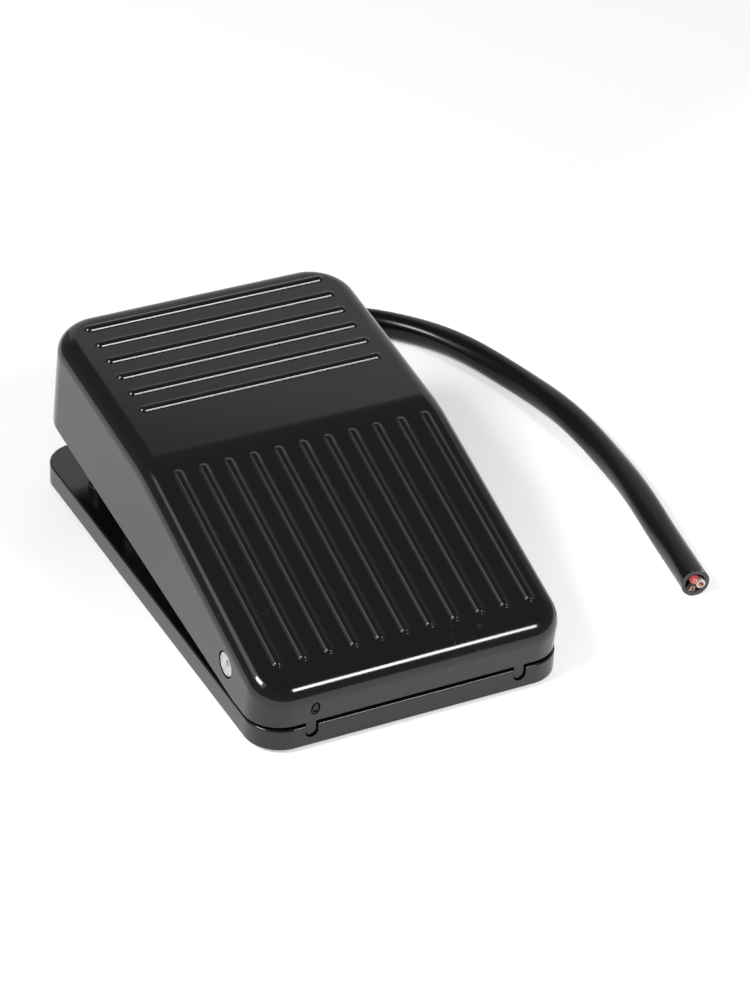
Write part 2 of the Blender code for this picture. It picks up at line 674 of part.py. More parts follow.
def pedal_openings(bm):
    """Pin holes, spring cup bores and the notch in the back wall that clears the cable."""
    add_rod(bm, (-HALF_WIDTH - ROOT, 0.0, 0.0), (HALF_WIDTH + ROOT, 0.0, 0.0), PEDAL_HOLE_RADIUS)
    for x in (-SPRING_X, SPRING_X):
        front = SPRING_CUP_Y - SPRING_CUP_REACH
        low = SPRING_SEAT - SPRING_CUP_DEPTH - ROOT
        add_oval_bar(bm, x, front, SPRING_CUP_Y, low, SPRING_SEAT, SPRING_CUP_RADIUS)
    axis = GLAND_Z - PIN_Z
    low = (-SKIRT_NOTCH_RADIUS, PEDAL_BACK - PEDAL_WALL - ROOT, PEDAL_BOTTOM - ROOT)
    high = (SKIRT_NOTCH_RADIUS, PEDAL_BACK + ROOT, axis + SKIRT_NOTCH_RADIUS)
    add_arched_block(bm, low, high, along=1)


def pedal_cover():
    pedal = new_part("pedal_cover", pedal_blank(), BLACK_PLASTIC, PIVOT, REST_ANGLE, smooth=30)
    shell = pedal.modifiers.new("wall", "SOLIDIFY")
    shell.thickness = PEDAL_WALL
    shell.offset = -1.0
    shell.use_even_offset = True
    for add_feature in (tread_ribs, pedal_underside):
        feature = bmesh.new()
        add_feature(feature)
        combine(pedal, feature, "UNION")
    openings = bmesh.new()
    pedal_openings(openings)
    combine(pedal, openings, "DIFFERENCE")


# ---- return springs ----


def spring_point(x, turn):
    """A point of the coil's centreline. The top coil lies along the tilted roof of the pedal."""
    angle = 2 * math.pi * turn
    y = SPRING_Y + SPRING_COIL_RADIUS * math.sin(angle)
    seat = BASE_TOP + GAP + SPRING_WIRE_RADIUS
    roof_z = PIN_Z + SPRING_SEAT / math.cos(REST_ANGLE) + (y - PIN_Y) * math.tan(REST_ANGLE)
    height = roof_z - (GAP + SPRING_WIRE_RADIUS) / math.cos(REST_ANGLE) - seat
    from_end = min(turn, SPRING_TURNS - turn)
    middle_turns = SPRING_TURNS - 2
    if from_end < 1:
        rise = from_end * SPRING_END_PITCH
        rise = rise if turn < 1 else height - rise
    else:
        rise = SPRING_END_PITCH + (turn - 1) / middle_turns * (height - 2 * SPRING_END_PITCH)
    return Vector((x + SPRING_COIL_RADIUS * math.cos(angle), y, seat + rise))


def return_springs():
    count = round(SPRING_TURNS * SPRING_POINTS_PER_TURN)
    for side, x in (("left", -SPRING_X), ("right", SPRING_X)):
        points = [spring_point(x, SPRING_TURNS * index / count) for index in range(count + 1)]
        wire_part(f"return_spring_{side}", points, SPRING_WIRE_RADIUS, STEEL)


# ---- switch ----


def to_metres_2d(pairs_mm):
    return [(first * MM, second * MM) for first, second in pairs_mm]


def switch_case():
    bm = bmesh.new()
    open_side = COVER_THICKNESS + GAP - SWITCH_HALF_THICKNESS
    low = (open_side, SWITCH_FRONT, SWITCH_BOTTOM)
    add_box(bm, low, (SWITCH_HALF_THICKNESS, SWITCH_BACK, SWITCH_TOP))
    case = new_part("switch_case", bm, DARK_PHENOLIC)
    lugs = bmesh.new()
    for side in (-1, 1):
        near, far = sorted((side * LEVER_LUG_INNER, side * (LEVER_LUG_INNER + ROOT)))
        low = (near, LEVER_Y - LEVER_LUG_RADIUS, SWITCH_TOP - ROOT)
        high = (far, LEVER_Y + LEVER_LUG_RADIUS, LEVER_Z + LEVER_LUG_RADIUS)
        add_arched_block(lugs, low, high, along=0)
    combine(case, lugs, "UNION")
    chamber = bmesh.new()
    low = (open_side - ROOT, CHAMBER_FRONT, CHAMBER_BOTTOM)
    add_box(chamber, low, (CHAMBER_HALF_DEPTH, CHAMBER_BACK, CHAMBER_TOP))
    combine(case, chamber, "DIFFERENCE")
    openings = bmesh.new()
    add_rod(
        openings, (0.0, PLUNGER_Y, CHAMBER_TOP - ROOT), (0.0, PLUNGER_Y, SWITCH_TOP + ROOT),
        PLUNGER_RADIUS + GAP, sides=SCREW_SIDES,
    )
    slot_half_width = TERMINAL_HALF_WIDTH + GAP
    for z, wall in (
        (COMMON_Z, (CHAMBER_BACK - ROOT, SWITCH_BACK + ROOT)),
        (NORMALLY_OPEN_Z, (SWITCH_FRONT - ROOT, CHAMBER_FRONT + ROOT)),
        (NORMALLY_CLOSED_Z, (SWITCH_FRONT - ROOT, CHAMBER_FRONT + ROOT)),
    ):
        half = TERMINAL_THICKNESS / 2 + GAP
        add_box(openings, (-slot_half_width, wall[0], z - half), (slot_half_width, wall[1], z + half))
    for y, z in to_metres_2d(SWITCH_SCREWS_MM):
        start, end = (-SWITCH_HALF_THICKNESS - ROOT, y, z), (SWITCH_HALF_THICKNESS + ROOT, y, z)
        add_rod(openings, start, end, SCREW_HOLE_RADIUS, sides=SCREW_SIDES)
    reach = LEVER_LUG_INNER + 2 * ROOT
    start, end = (-reach, LEVER_Y, LEVER_Z), (reach, LEVER_Y, LEVER_Z)
    add_rod(openings, start, end, LEVER_LUG_HOLE, sides=12)
    combine(case, openings, "DIFFERENCE")


def switch_cover():
    bm = bmesh.new()
    outer = -SWITCH_HALF_THICKNESS
    high = (outer + COVER_THICKNESS, SWITCH_BACK, SWITCH_TOP)
    add_box(bm, (outer, SWITCH_FRONT, SWITCH_BOTTOM), high)
    cover = new_part("switch_cover", bm, DARK_PHENOLIC)
    holes = bmesh.new()
    for y, z in to_metres_2d(SWITCH_SCREWS_MM):
        start, end = (outer - ROOT, y, z), (outer + COVER_THICKNESS + ROOT, y, z)
        add_rod(holes, start, end, SCREW_HOLE_RADIUS, sides=SCREW_SIDES)
    combine(cover, holes, "DIFFERENCE")


def switch_screws():
    for place, (y, z) in zip(("front", "rear"), to_metres_2d(SWITCH_SCREWS_MM)):
        head_base = -SWITCH_HALF_THICKNESS - GAP
        head_end = (head_base - SWITCH_HEAD_HEIGHT, y, z)
        tip = (SWITCH_HALF_THICKNESS + BRACKET_THICKNESS, y, z)
        screw(f"switch_screw_{place}", head_end, (head_base, y, z), tip)


def switch_lever():
    """The actuating lever, modelled flat from its own hinge axis."""
    bm = bmesh.new()
    half = LEVER_THICKNESS / 2
    add_box(bm, (-LEVER_HALF_WIDTH, -LEVER_LENGTH, -half), (LEVER_HALF_WIDTH, 0.0, half))
    lever = new_part("switch_lever", bm, STEEL, (0.0, LEVER_Y, LEVER_Z), -LEVER_REST)
    for reach, radius in ((LEVER_HALF_WIDTH, LEVER_BARREL), (LEVER_STUB_END, LEVER_STUB)):
        barrel = bmesh.new()
        add_rod(barrel, (-reach, 0.0, 0.0), (reach, 0.0, 0.0), radius, sides=12)
        combine(lever, barrel, "UNION")


def switch_plunger():
    bm = bmesh.new()
    start, end = (0.0, PLUNGER_Y, PLUNGER_FOOT), (0.0, PLUNGER_Y, PLUNGER_TOP)
    add_rod(bm, start, end, PLUNGER_RADIUS, sides=SCREW_SIDES)
    plunger = new_part("switch_plunger", bm, RED_PLASTIC, smooth=40)
    collar = bmesh.new()
    low, high = ((0.0, PLUNGER_Y, z) for z in PLUNGER_COLLAR)
    add_rod(collar, low, high, PLUNGER_COLLAR_RADIUS, sides=SCREW_SIDES)
    combine(plunger, collar, "UNION")


def snap_blade():
    """The moving contact blade, modelled from its hinge at the common terminal."""
    bm = bmesh.new()
    half = BLADE_THICKNESS / 2
    reach = CONTACT_Y - BLADE_Y
    add_box(bm, (-BLADE_HALF_WIDTH, reach - CONTACT_RADIUS, -half), (BLADE_HALF_WIDTH, 0.0, half))
    blade = new_part("snap_blade", bm, COPPER, (0.0, BLADE_Y, BLADE_Z))
    barrel = bmesh.new()
    start, end = (-BLADE_HALF_WIDTH, 0.0, 0.0), (BLADE_HALF_WIDTH, 0.0, 0.0)
    add_rod(barrel, start, end, BLADE_BARREL, sides=12)
    low, high = ((0.0, reach, z - BLADE_Z) for z in BLADE_CONTACT)
    add_rod(barrel, low, high, CONTACT_RADIUS, sides=12)
    combine(blade, barrel, "UNION")


def terminal(name, start, end, z, feature):
    """A flat terminal strip between two places along Y, with a post or a contact on it."""
    bm = bmesh.new()
    half = TERMINAL_THICKNESS / 2
    add_box(bm, (-TERMINAL_HALF_WIDTH, start, z - half), (TERMINAL_HALF_WIDTH, end, z + half))
    part = new_part(name, bm, BRASS)
    combine(part, feature, "UNION")


def terminals():
    post = bmesh.new()
    low = (-BLADE_HALF_WIDTH, COMMON_POST[0], COMMON_Z)
    add_box(post, low, (BLADE_HALF_WIDTH, COMMON_POST[1], COMMON_POST_TOP))
    inner_end = COMMON_POST[0] - GAP
    terminal("terminal_common", inner_end, SWITCH_BACK + TERMINAL_OUT, COMMON_Z, post)
    start, end = SWITCH_FRONT - TERMINAL_OUT, FIXED_CONTACT_INNER_END
    for state, z, side in (("open", NORMALLY_OPEN_Z, 1), ("closed", NORMALLY_CLOSED_Z, -1)):
        contact = bmesh.new()
        tip = z + side * (TERMINAL_THICKNESS / 2 + CONTACT_HEIGHT)
        add_rod(contact, (0.0, CONTACT_Y, z), (0.0, CONTACT_Y, tip), CONTACT_RADIUS, sides=12)
        terminal(f"terminal_normally_{state}", start, end, z, contact)


# ---- cable ----


def cable_jacket():
    points = smooth_points(to_metres(CABLE_ROUTE_MM), CABLE_STEP)
    wire_part("cable_jacket", points, CABLE_RADIUS, CABLE_PVC, resolution=4)


def core_places(centre, right, up):
    """Where the three cores stand around the cable's centre."""
    return {
        color: centre + right * (across * MM) + up * (above * MM)
        for color, (across, above) in CORE_OFFSETS_MM.items()
    }


def cut_cores():
    """The cores' cut ends, just outside the jacket's end face."""
    end, before = (Vector(CABLE_ROUTE_MM[index]) * MM for index in (-1, -2))
    direction = (end - before).normalized()
    right = direction.cross(Vector((0.0, 0.0, 1.0))).normalized()
    for color, place in core_places(end, right, Vector((0.0, 0.0, 1.0))).items():
        bm = bmesh.new()
        start = place + direction * GAP
        add_rod(bm, start, start + direction * CORE_STUB, CORE_RADIUS, sides=12)
        new_part(f"cut_core_{color}", bm, CORE_PVC[color], smooth=40)


def inner_wires():
    """The cores inside the housing, from the jacket's end to the terminals."""
    for color, route_mm in INNER_ROUTES_MM.items():
        points = smooth_points(to_metres(route_mm), INNER_WIRE_STEP)
        wire_part(f"inner_wire_{color}", points, INNER_WIRE_RADIUS, CORE_PVC[color])


def strain_relief():
    """A turned sleeve with a neck between two collars. It is drawn along Z and laid along +Y."""
    outer = to_metres_2d(RELIEF_OUTER_MM)
    profile = [*outer, (RELIEF_BORE, outer[-1][1]), (RELIEF_BORE, outer[0][1])]
    bm = bmesh.new()
    ring = [bm.verts.new((radius, 0.0, height)) for radius, height in profile]
    for first, second in zip(ring, ring[1:] + ring[:1]):
        bm.edges.new((first, second))
    relief = new_part("strain_relief", bm, CABLE_PVC, (0.0, 0.0, GLAND_Z), -math.pi / 2, smooth=30)
    turn = relief.modifiers.new("turn", "SCREW")
    turn.steps = turn.render_steps = RELIEF_SIDES
    turn.use_merge_vertices = True
    turn.merge_threshold = TINY
    turn.use_smooth_shade = True


def cable_clamp():
    """A saddle over the cable, screwed down on its seat."""
    bm = bmesh.new()
    bottom = CLAMP_SEAT_TOP + GAP
    low = (-CLAMP_HALF_WIDTH, CLAMP_FRONT, bottom)
    add_box(bm, low, (CLAMP_HALF_WIDTH, CLAMP_BACK, bottom + CLAMP_FOOT))
    clamp = new_part("cable_clamp", bm, BLACK_PLASTIC, smooth=30)
    inner = CABLE_RADIUS + GAP
    outer = inner + CLAMP_BAND
    band = bmesh.new()
    low = (-outer, CLAMP_FRONT, bottom)
    add_arched_block(band, low, (outer, CLAMP_BACK, GLAND_Z + outer), along=1)
    combine(clamp, band, "UNION")
    openings = bmesh.new()
    low = (-inner, CLAMP_FRONT - ROOT, bottom - ROOT)
    add_arched_block(openings, low, (inner, CLAMP_BACK + ROOT, GLAND_Z + inner), along=1)
    y = (CLAMP_FRONT + CLAMP_BACK) / 2
    for x in (-CLAMP_SCREW_X, CLAMP_SCREW_X):
        top = bottom + CLAMP_FOOT + ROOT
        add_rod(openings, (x, y, bottom - ROOT), (x, y, top), SCREW_HOLE_RADIUS, sides=SCREW_SIDES)
    combine(clamp, openings, "DIFFERENCE")


def clamp_screws():
    y = (CLAMP_FRONT + CLAMP_BACK) / 2
    for side, x in (("left", -CLAMP_SCREW_X), ("right", CLAMP_SCREW_X)):
        head_base = CLAMP_SEAT_TOP + 2 * GAP + CLAMP_FOOT
        head_end = (x, y, head_base + SWITCH_HEAD_HEIGHT)
        screw(f"clamp_screw_{side}", head_end, (x, y, head_base), (x, y, CLAMP_SCREW_TIP))


clear_scene()
PARTS = new_collection("foot_pedal_switch")
CUTTERS = new_collection("cutters")

BLACK_PLASTIC = new_material("black_plastic", (0.02, 0.02, 0.021), 0.35)
DARK_PHENOLIC = new_material("dark_phenolic", (0.03, 0.028, 0.027), 0.5)
RUBBER = new_material("rubber", (0.018, 0.018, 0.018), 0.8)
CABLE_PVC = new_material("cable_pvc", (0.015, 0.015, 0.016), 0.4)
RED_PLASTIC = new_material("red_plastic", (0.5, 0.03, 0.02), 0.4)
STEEL = new_material("steel", (0.62, 0.61, 0.6), 0.3, 1.0)
BRASS = new_material("brass", (0.72, 0.55, 0.28), 0.35, 1.0)
COPPER = new_material("copper", (0.75, 0.42, 0.28), 0.35, 1.0)
CORE_PVC = {
    "red": new_material("red_core", (0.45, 0.02, 0.03), 0.45),
    "white": new_material("white_core", (0.75, 0.72, 0.72), 0.45),
    "black": new_material("black_core", (0.03, 0.03, 0.03), 0.45),
}

base_housing()
bottom_plate()
rubber_feet()
plate_screws()
pivot_pin()
pedal_cover()
return_springs()
switch_case()
switch_cover()
switch_screws()
switch_lever()
switch_plunger()
snap_blade()
terminals()
cable_jacket()
cut_cores()
inner_wires()
strain_relief()
cable_clamp()
clamp_screws()
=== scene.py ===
"""The foot pedal switch's finished surfaces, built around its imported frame.

Units are metres. Every piece is made where the frame has it, in the attitude the springs hold it in.
"""

import json
import math
import random

import bmesh
import bpy
from mathutils import Matrix, Vector


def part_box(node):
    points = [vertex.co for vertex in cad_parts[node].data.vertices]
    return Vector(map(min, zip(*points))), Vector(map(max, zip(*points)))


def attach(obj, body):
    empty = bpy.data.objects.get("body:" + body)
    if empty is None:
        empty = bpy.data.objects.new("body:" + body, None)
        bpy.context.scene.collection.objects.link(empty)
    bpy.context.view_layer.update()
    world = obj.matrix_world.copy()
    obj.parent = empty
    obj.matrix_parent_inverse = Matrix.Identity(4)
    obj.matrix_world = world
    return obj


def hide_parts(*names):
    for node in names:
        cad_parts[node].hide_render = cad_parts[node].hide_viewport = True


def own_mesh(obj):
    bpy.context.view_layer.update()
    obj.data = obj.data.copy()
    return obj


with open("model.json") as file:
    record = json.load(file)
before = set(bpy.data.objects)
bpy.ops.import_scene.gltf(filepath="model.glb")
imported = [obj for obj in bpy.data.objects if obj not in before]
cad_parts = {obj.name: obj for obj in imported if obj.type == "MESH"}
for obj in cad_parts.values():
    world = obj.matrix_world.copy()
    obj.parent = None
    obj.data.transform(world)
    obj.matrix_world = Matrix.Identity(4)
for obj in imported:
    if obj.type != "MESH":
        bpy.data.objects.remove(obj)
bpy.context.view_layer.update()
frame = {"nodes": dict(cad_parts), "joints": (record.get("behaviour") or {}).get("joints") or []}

MM = 0.001
TINY = 0.005 * MM
GAP = 0.3 * MM
ROOT = 1.0 * MM  # how far a feature reaches into the wall it stands on

# ---- what the frame says ----


def joint(name):
    return next(entry for entry in frame["joints"] if entry["name"] == name)


def frame_box(node):
    """The lowest corner, the highest corner and the middle of a node."""
    low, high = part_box(node)
    return low, high, (low + high) / 2


BASE_LOW, BASE_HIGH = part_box("base_housing")
PIN_LOW, PIN_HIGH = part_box("pivot_pin")
PLATE_LOW, PLATE_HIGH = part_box("bottom_plate")
CLAMP_LOW, CLAMP_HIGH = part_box("cable_clamp")
CASE_LOW, CASE_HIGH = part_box("switch_case")
PLATE_SCREWS = {node: frame_box(node)[2] for node in frame["nodes"] if node.startswith("plate_screw_")}
HINGE = joint("pedal_hinge")
PIVOT = Vector(HINGE["pos_m"])
REST_ANGLE = -math.radians(HINGE["range_deg"][0])
HALF_WIDTH = BASE_HIGH.x
HALF_LENGTH = BASE_HIGH.y
BASE_UNDERSIDE = BASE_LOW.z
DECK = HINGE["deforming_nodes"][0]["fixed_end_z_m"]

# ---- the shells' own dimensions ----

CORNER_RADIUS = 6.9 * MM
REAR_CORNER_RADIUS = 9.2 * MM  # rear corners of the pedal
CORNER_SEGMENTS = 14
BASE_WALL = 2.2 * MM
DECK_UNDERSIDE = 3.0 * MM
BASE_EDGE = 0.4 * MM  # rounding of the base's upper edge
BASE_FOOT_EDGE = 0.3 * MM

# The pedal is measured from the pivot with its lower edge level
PEDAL_WALL = 2.2 * MM
PEDAL_FRONT = -15.5 * MM
PEDAL_BACK = 86.55 * MM
PEDAL_BOTTOM = -5.3 * MM
PEDAL_TOP = 15.0 * MM
RIDGE_Y = 39.6 * MM
FRONT_SLOPE = math.radians(11.33)
RIDGE_ROUNDING = 2.65 * MM
TOP_FILLET = 3.6 * MM
FILLET_SEGMENTS = 12
FRONT_GAP = 0.35 * MM
RIM_EDGE = 0.15 * MM  # rounding of the skirt's lower edge

RIB_CREST_RADIUS = 1.1 * MM
RIB_FOOT_RADIUS = 0.4 * MM  # hollow rounding where a rib meets the tread
RIB_STEEPEST = math.radians(52.0)
RIB_STEPS = 14
RIB_END_SIDES = 20
LONG_RIBS = 11
LONG_RIB_SPACING = 5.15 * MM
LONG_RIB_FRONT = -8.1 * MM
LONG_RIB_BACK = 36.4 * MM
CROSS_RIBS = 6
CROSS_RIB_SPACING = 5.18 * MM
CROSS_RIB_LAST = 81.15 * MM
CROSS_RIB_HALF_LENGTH = 24.5 * MM
RIB_CENTRE_X = 0.4 * MM  # the rib pattern sits a little right of the middle

PEDAL_BOSS_RADIUS = 4.5 * MM
PEDAL_HOLE_RADIUS = 2.65 * MM
LUG_HOLE_RADIUS = 2.75 * MM
LUG_RADIUS = 4.3 * MM
LUG_INNER_X = 23.6 * MM
LUG_OUTER_X = 27.6 * MM
TAB_X = 21.3 * MM
TAB_HALF_WIDTH = 1.0 * MM
TAB_BOTTOM = 2.9 * MM
TAB_FRONT = -50.55 * MM
TAB_BACK = -49.25 * MM
NOTCH_HALF_WIDTH = 1.3 * MM
NOTCH_BOTTOM = 2.6 * MM
NOTCH_BACK = -48.4 * MM
SKIRT_NOTCH_RADIUS = 6.4 * MM
SPRING_CUP_Y = 63.6 * MM
SPRING_CUP_FRONT = SPRING_CUP_Y - 2.2 * MM  # the cup slides back over the coil as the pedal swings
SPRING_CUP_RADIUS = 6.1 * MM
SPRING_CUP_WALL = 1.3 * MM
SPRING_CUP_DEPTH = 2.5 * MM
SPRING_SEAT = PEDAL_TOP - PEDAL_WALL + 0.2 * MM
ACTUATOR_Y = 35.9 * MM
ACTUATOR_Z = 12.72 * MM
ACTUATOR_RADIUS = 1.5 * MM
ACTUATOR_HALF_WIDTH = 3.0 * MM

# The moulding gate's mark on the front face: an oval recess with a nub left in it
GATE_X = -20.7 * MM
GATE_Z = -0.7 * MM
GATE_RECESS_MM = (0.95, 0.8, 1.45)
GATE_NUB_MM = (0.42, 0.45, 0.75)
GATE_NUB_DEPTH = 0.5 * MM

# The base's fittings
BRACKET_THICKNESS = 3.0 * MM
BRACKET_TOP = 20.0 * MM
WALL_FRONT = 43.0 * MM
WALL_BACK = 46.0 * MM
WALL_HALF_WIDTH = 8.2 * MM
WALL_TOP = 16.2 * MM
WALL_SLOT_HALF_WIDTH = 4.35 * MM
CLAMP_SEAT_TOP = 7.3 * MM
CLAMP_FOOT = 1.6 * MM
CLAMP_SCREW_X = 7.3 * MM
CLAMP_SCREW_TIP = 4.9 * MM
SPRING_X = 18.0 * MM
SPRING_Y = 26.0 * MM
SPRING_POST_RADIUS = 3.8 * MM
SPRING_POST_HEIGHT = 4.0 * MM
BOSS_RADIUS = 3.0 * MM
BOSS_TOP = 7.4 * MM
SCREW_RADIUS = 1.25 * MM
SCREW_HOLE_RADIUS = SCREW_RADIUS + 0.35 * MM
SCREW_HEAD_RADIUS = 2.1 * MM
SCREW_THREAD_DEPTH = 0.18 * MM
SCREW_THREAD_PITCH = 0.6 * MM
SCREW_POINT = 0.7 * MM
SCREW_HEAD_ROUNDING = 0.45 * MM
RECESS_HALF_LENGTH = 1.15 * MM  # of each arm of the cross recess
RECESS_HALF_WIDTH = 0.2 * MM
RECESS_TURN = 0.4
PLATE_SCREW_TIP = 6.6 * MM
PLATE_HEAD_RECESS_TOP = 1.9 * MM
FOOT_RECESS_TOP = 1.7 * MM

# Pin
PIN_EDGE = 0.35 * MM  # rounding of its ends
PIN_NICK_MM = (0.5, 1.3, 0.4)
PIN_NICK_TURN = 0.7

# Springs
SPRING_COIL_RADIUS = 5.0 * MM
SPRING_WIRE_RADIUS = 0.5 * MM
SPRING_TURNS = 6.5
SPRING_POINTS_PER_TURN = 30
SPRING_END_PITCH = 1.12 * MM

# Cable
CABLE_RADIUS = 2.9 * MM
CABLE_SIDES = 64
CABLE_STEP = 1.0 * MM
CABLE_LAY_PITCH = 34.0 * MM  # along the cable, from one core's ridge to the next
CABLE_LAY_DEPTH = 0.16 * MM
CURVE_STEPS = 24  # between two points of a route, before they are spaced evenly
GLAND_Z = 10.6 * MM
CABLE_ROUTE_MM = (
    (0.0, 31.7, 10.6), (0.0, 45.0, 10.6), (0.0, 58.4, 10.6), (1.4, 66.2, 9.7), (5.6, 73.4, 7.9),
    (12.3, 78.7, 5.9), (20.2, 81.6, 4.2), (26.8, 82.0, 3.4), (34.5, 80.9, 3.0), (44.8, 77.4, 2.95),
    (54.3, 71.5, 2.95), (61.2, 64.2, 2.95), (65.9, 55.8, 2.95), (69.3, 46.0, 2.95),
    (71.9, 35.8, 2.95), (73.5, 25.5, 2.95), (74.0, 14.5, 2.95), (73.5, 3.5, 2.95),
    (72.3, -7.0, 2.95), (70.6, -17.8, 2.95), (68.9, -28.0, 2.95), (67.2, -37.5, 2.95),
)
# The jacket's cut end: rings of (radius, depth) from its rim into the bore
JACKET_CUT_MM = ((2.82, -0.05), (2.1, -0.03), (2.02, 0.06), (2.02, 5.0))
CORE_RADIUS = 0.93 * MM
CORE_LENGTH = 4.6 * MM
CORE_BORE = 0.52 * MM
CORE_BORE_DEPTH = 1.1 * MM
CORE_TIPS_MM = {"red": 0.35, "white": 0.2, "black": 0.05}  # how far each stands out of the cut
STRAND_RADIUS = 0.15 * MM
STRAND_RING = 0.33 * MM
OUTER_STRANDS = 8  # around the one in the middle
CORE_OFFSETS_MM = {"red": (0.38, 1.05), "white": (-1.1, -0.2), "black": (0.72, -0.86)}
RELIEF_BORE = 3.12 * MM
RELIEF_TIP_RADIUS = 3.75 * MM
RELIEF_TAIL_RADIUS = 4.0 * MM
# The relief's flex rings, shoulder and neck: (radius, place along Y) from its tip inwards
RELIEF_OUTER_MM = (
    (4.0, 55.6), (4.0, 55.5), (3.6, 55.4), (3.6, 54.7), (4.15, 54.6), (4.3, 53.1), (3.75, 53.0),
    (3.75, 52.3), (4.4, 52.2), (4.55, 50.7), (3.9, 50.6), (3.9, 49.9), (4.65, 49.8), (5.0, 47.8),
    (5.0, 46.3), (4.05, 46.3), (4.05, 42.7), (5.05, 42.7), (5.05, 40.7), (4.0, 40.7),
)
INNER_WIRE_RADIUS = 0.8 * MM
INNER_ROUTES_MM = {
    "red": (
        (-1.15, 31.3, 11.35), (-1.4, 30.2, 11.3), (-4.4, 28.4, 10.0), (-8.2, 25.2, 7.6),
        (-9.6, 19.0, 6.5), (-9.6, 5.0, 6.4), (-9.4, -6.0, 6.9), (-7.0, -13.0, 8.9),
        (-3.2, -15.6, 10.8), (-0.3, -14.8, 11.4), (0.0, -12.85, 11.4),
    ),
    "white": ((1.15, 31.3, 11.35), (1.1, 30.0, 11.2), (0.3, 28.3, 9.8), (0.0, 26.65, 9.0)),
    "black": (
        (0.0, 31.3, 9.3), (0.5, 30.2, 9.2), (3.8, 28.4, 8.2), (8.0, 25.6, 6.9),
        (10.3, 20.0, 6.4), (10.4, 5.0, 6.4), (10.0, -6.0, 7.6), (7.4, -13.2, 12.0),
        (3.4, -15.8, 15.6), (0.4, -14.9, 16.6), (0.0, -12.85, 16.6),
    ),
}

# ---- camera ----

CAMERA_AZIMUTH = math.radians(-28.65)
CAMERA_ELEVATION = math.radians(33.91)
CAMERA_ROLL = math.radians(3.11)
CAMERA_DISTANCE = 743.57 * MM
CAMERA_TARGET = Vector((16.897, 0.0, 12.217)) * MM
CAMERA_LENS_MM = 139.34


def make_camera():
    camera = bpy.data.objects.new("camera", bpy.data.cameras.new("camera"))
    bpy.context.scene.collection.objects.link(camera)
    camera.data.sensor_width = 36.0
    camera.data.lens = CAMERA_LENS_MM
    camera.data.clip_start = 0.01
    back = Vector((
        math.sin(CAMERA_AZIMUTH) * math.cos(CAMERA_ELEVATION),
        -math.cos(CAMERA_AZIMUTH) * math.cos(CAMERA_ELEVATION),
        math.sin(CAMERA_ELEVATION),
    ))
    level = (-back).to_track_quat("-Z", "Y").to_matrix().to_4x4()
    place = Matrix.Translation(CAMERA_TARGET + back * CAMERA_DISTANCE)
    camera.matrix_world = place @ level @ Matrix.Rotation(CAMERA_ROLL, 4, "Z")
    bpy.context.scene.camera = camera


# ---- mesh helpers ----


def add_box(bm, low, high):
    low, high = Vector(low), Vector(high)
    place = Matrix.Translation((low + high) / 2) @ Matrix.Diagonal((*(high - low), 1.0))
    return bmesh.ops.create_cube(bm, size=1.0, matrix=place)["verts"]


def along(start, end):
    """The matrix that lays +Z from start towards end, with its origin at start."""
    turn = (end - start).to_track_quat("Z", "Y").to_matrix().to_4x4()
    return Matrix.Translation(start) @ turn


def add_rod(bm, start, end, radius, sides=48):
    start, end = Vector(start), Vector(end)
    place = along(start, end) @ Matrix.Translation((0.0, 0.0, (end - start).length / 2))
    bmesh.ops.create_cone(
        bm, cap_ends=True, segments=sides, radius1=radius, radius2=radius,
        depth=(end - start).length, matrix=place,
    )


def join_rings(bm, first, second):
    """Closes the strip between two rings with equally many vertices, and returns its faces."""
    after = [*range(1, len(first)), 0]
    return [
        bm.faces.new((first[here], first[there], second[there], second[here]))
        for here, there in enumerate(after)
    ]


def add_upright(bm, centre, start, end, radius, sides=48):
    """An upright rod over a point of the floor, between two heights."""
    add_rod(bm, (centre[0], centre[1], start), (centre[0], centre[1], end), radius, sides)


def add_oval_bar(bm, x, front, back, low, high, radius, sides=24):
    """An upright bar whose section has straight sides along Y and round ends."""
    rings = []
    for z in (low, high):
        ring = []
        for y, turn in ((back, 0.0), (front, math.pi)):
            for step in range(sides + 1):
                angle = turn + math.pi * step / sides
                ring.append(bm.verts.new((x + radius * math.cos(angle), y + radius * math.sin(angle), z)))
        rings.append(ring)
    lower, upper = rings
    join_rings(bm, lower, upper)
    bm.faces.new(lower[::-1])
    bm.faces.new(upper)


def bevel_edges(bm, edges, width, segments):
    bmesh.ops.bevel(
        bm, geom=edges, offset=width, offset_type="OFFSET", segments=segments, profile=0.5,
        affect="EDGES", clamp_overlap=False,
    )


def add_mesh(bm, other):
    """Moves one bmesh's shapes into another."""
    carrier = bpy.data.meshes.new("carrier")
    other.to_mesh(carrier)
    other.free()
    bm.from_mesh(carrier)
    bpy.data.meshes.remove(carrier)


def add_block(bm, low, high, rounding=0.25 * MM):
    """A box with all its edges rounded."""
    block = bmesh.new()
    add_box(block, low, high)
    bevel_edges(block, block.edges[:], rounding, 3)
    add_mesh(bm, block)


def add_slab(bm, half_x, half_y, bottom, top, radius, edges=()):
    """A plate with rounded corners. edges gives (height, rounding) for its upper or lower edge."""
    add_box(bm, (-half_x, -half_y, bottom), (half_x, half_y, top))
    upright = [e for e in bm.edges if (e.verts[0].co - e.verts[1].co).xy.length < TINY]
    bevel_edges(bm, upright, radius, CORNER_SEGMENTS)
    for height, rounding in edges:
        rim = [e for e in bm.edges if all(abs(v.co.z - height) < TINY for v in e.verts)]
        bevel_edges(bm, rim, rounding, 4)


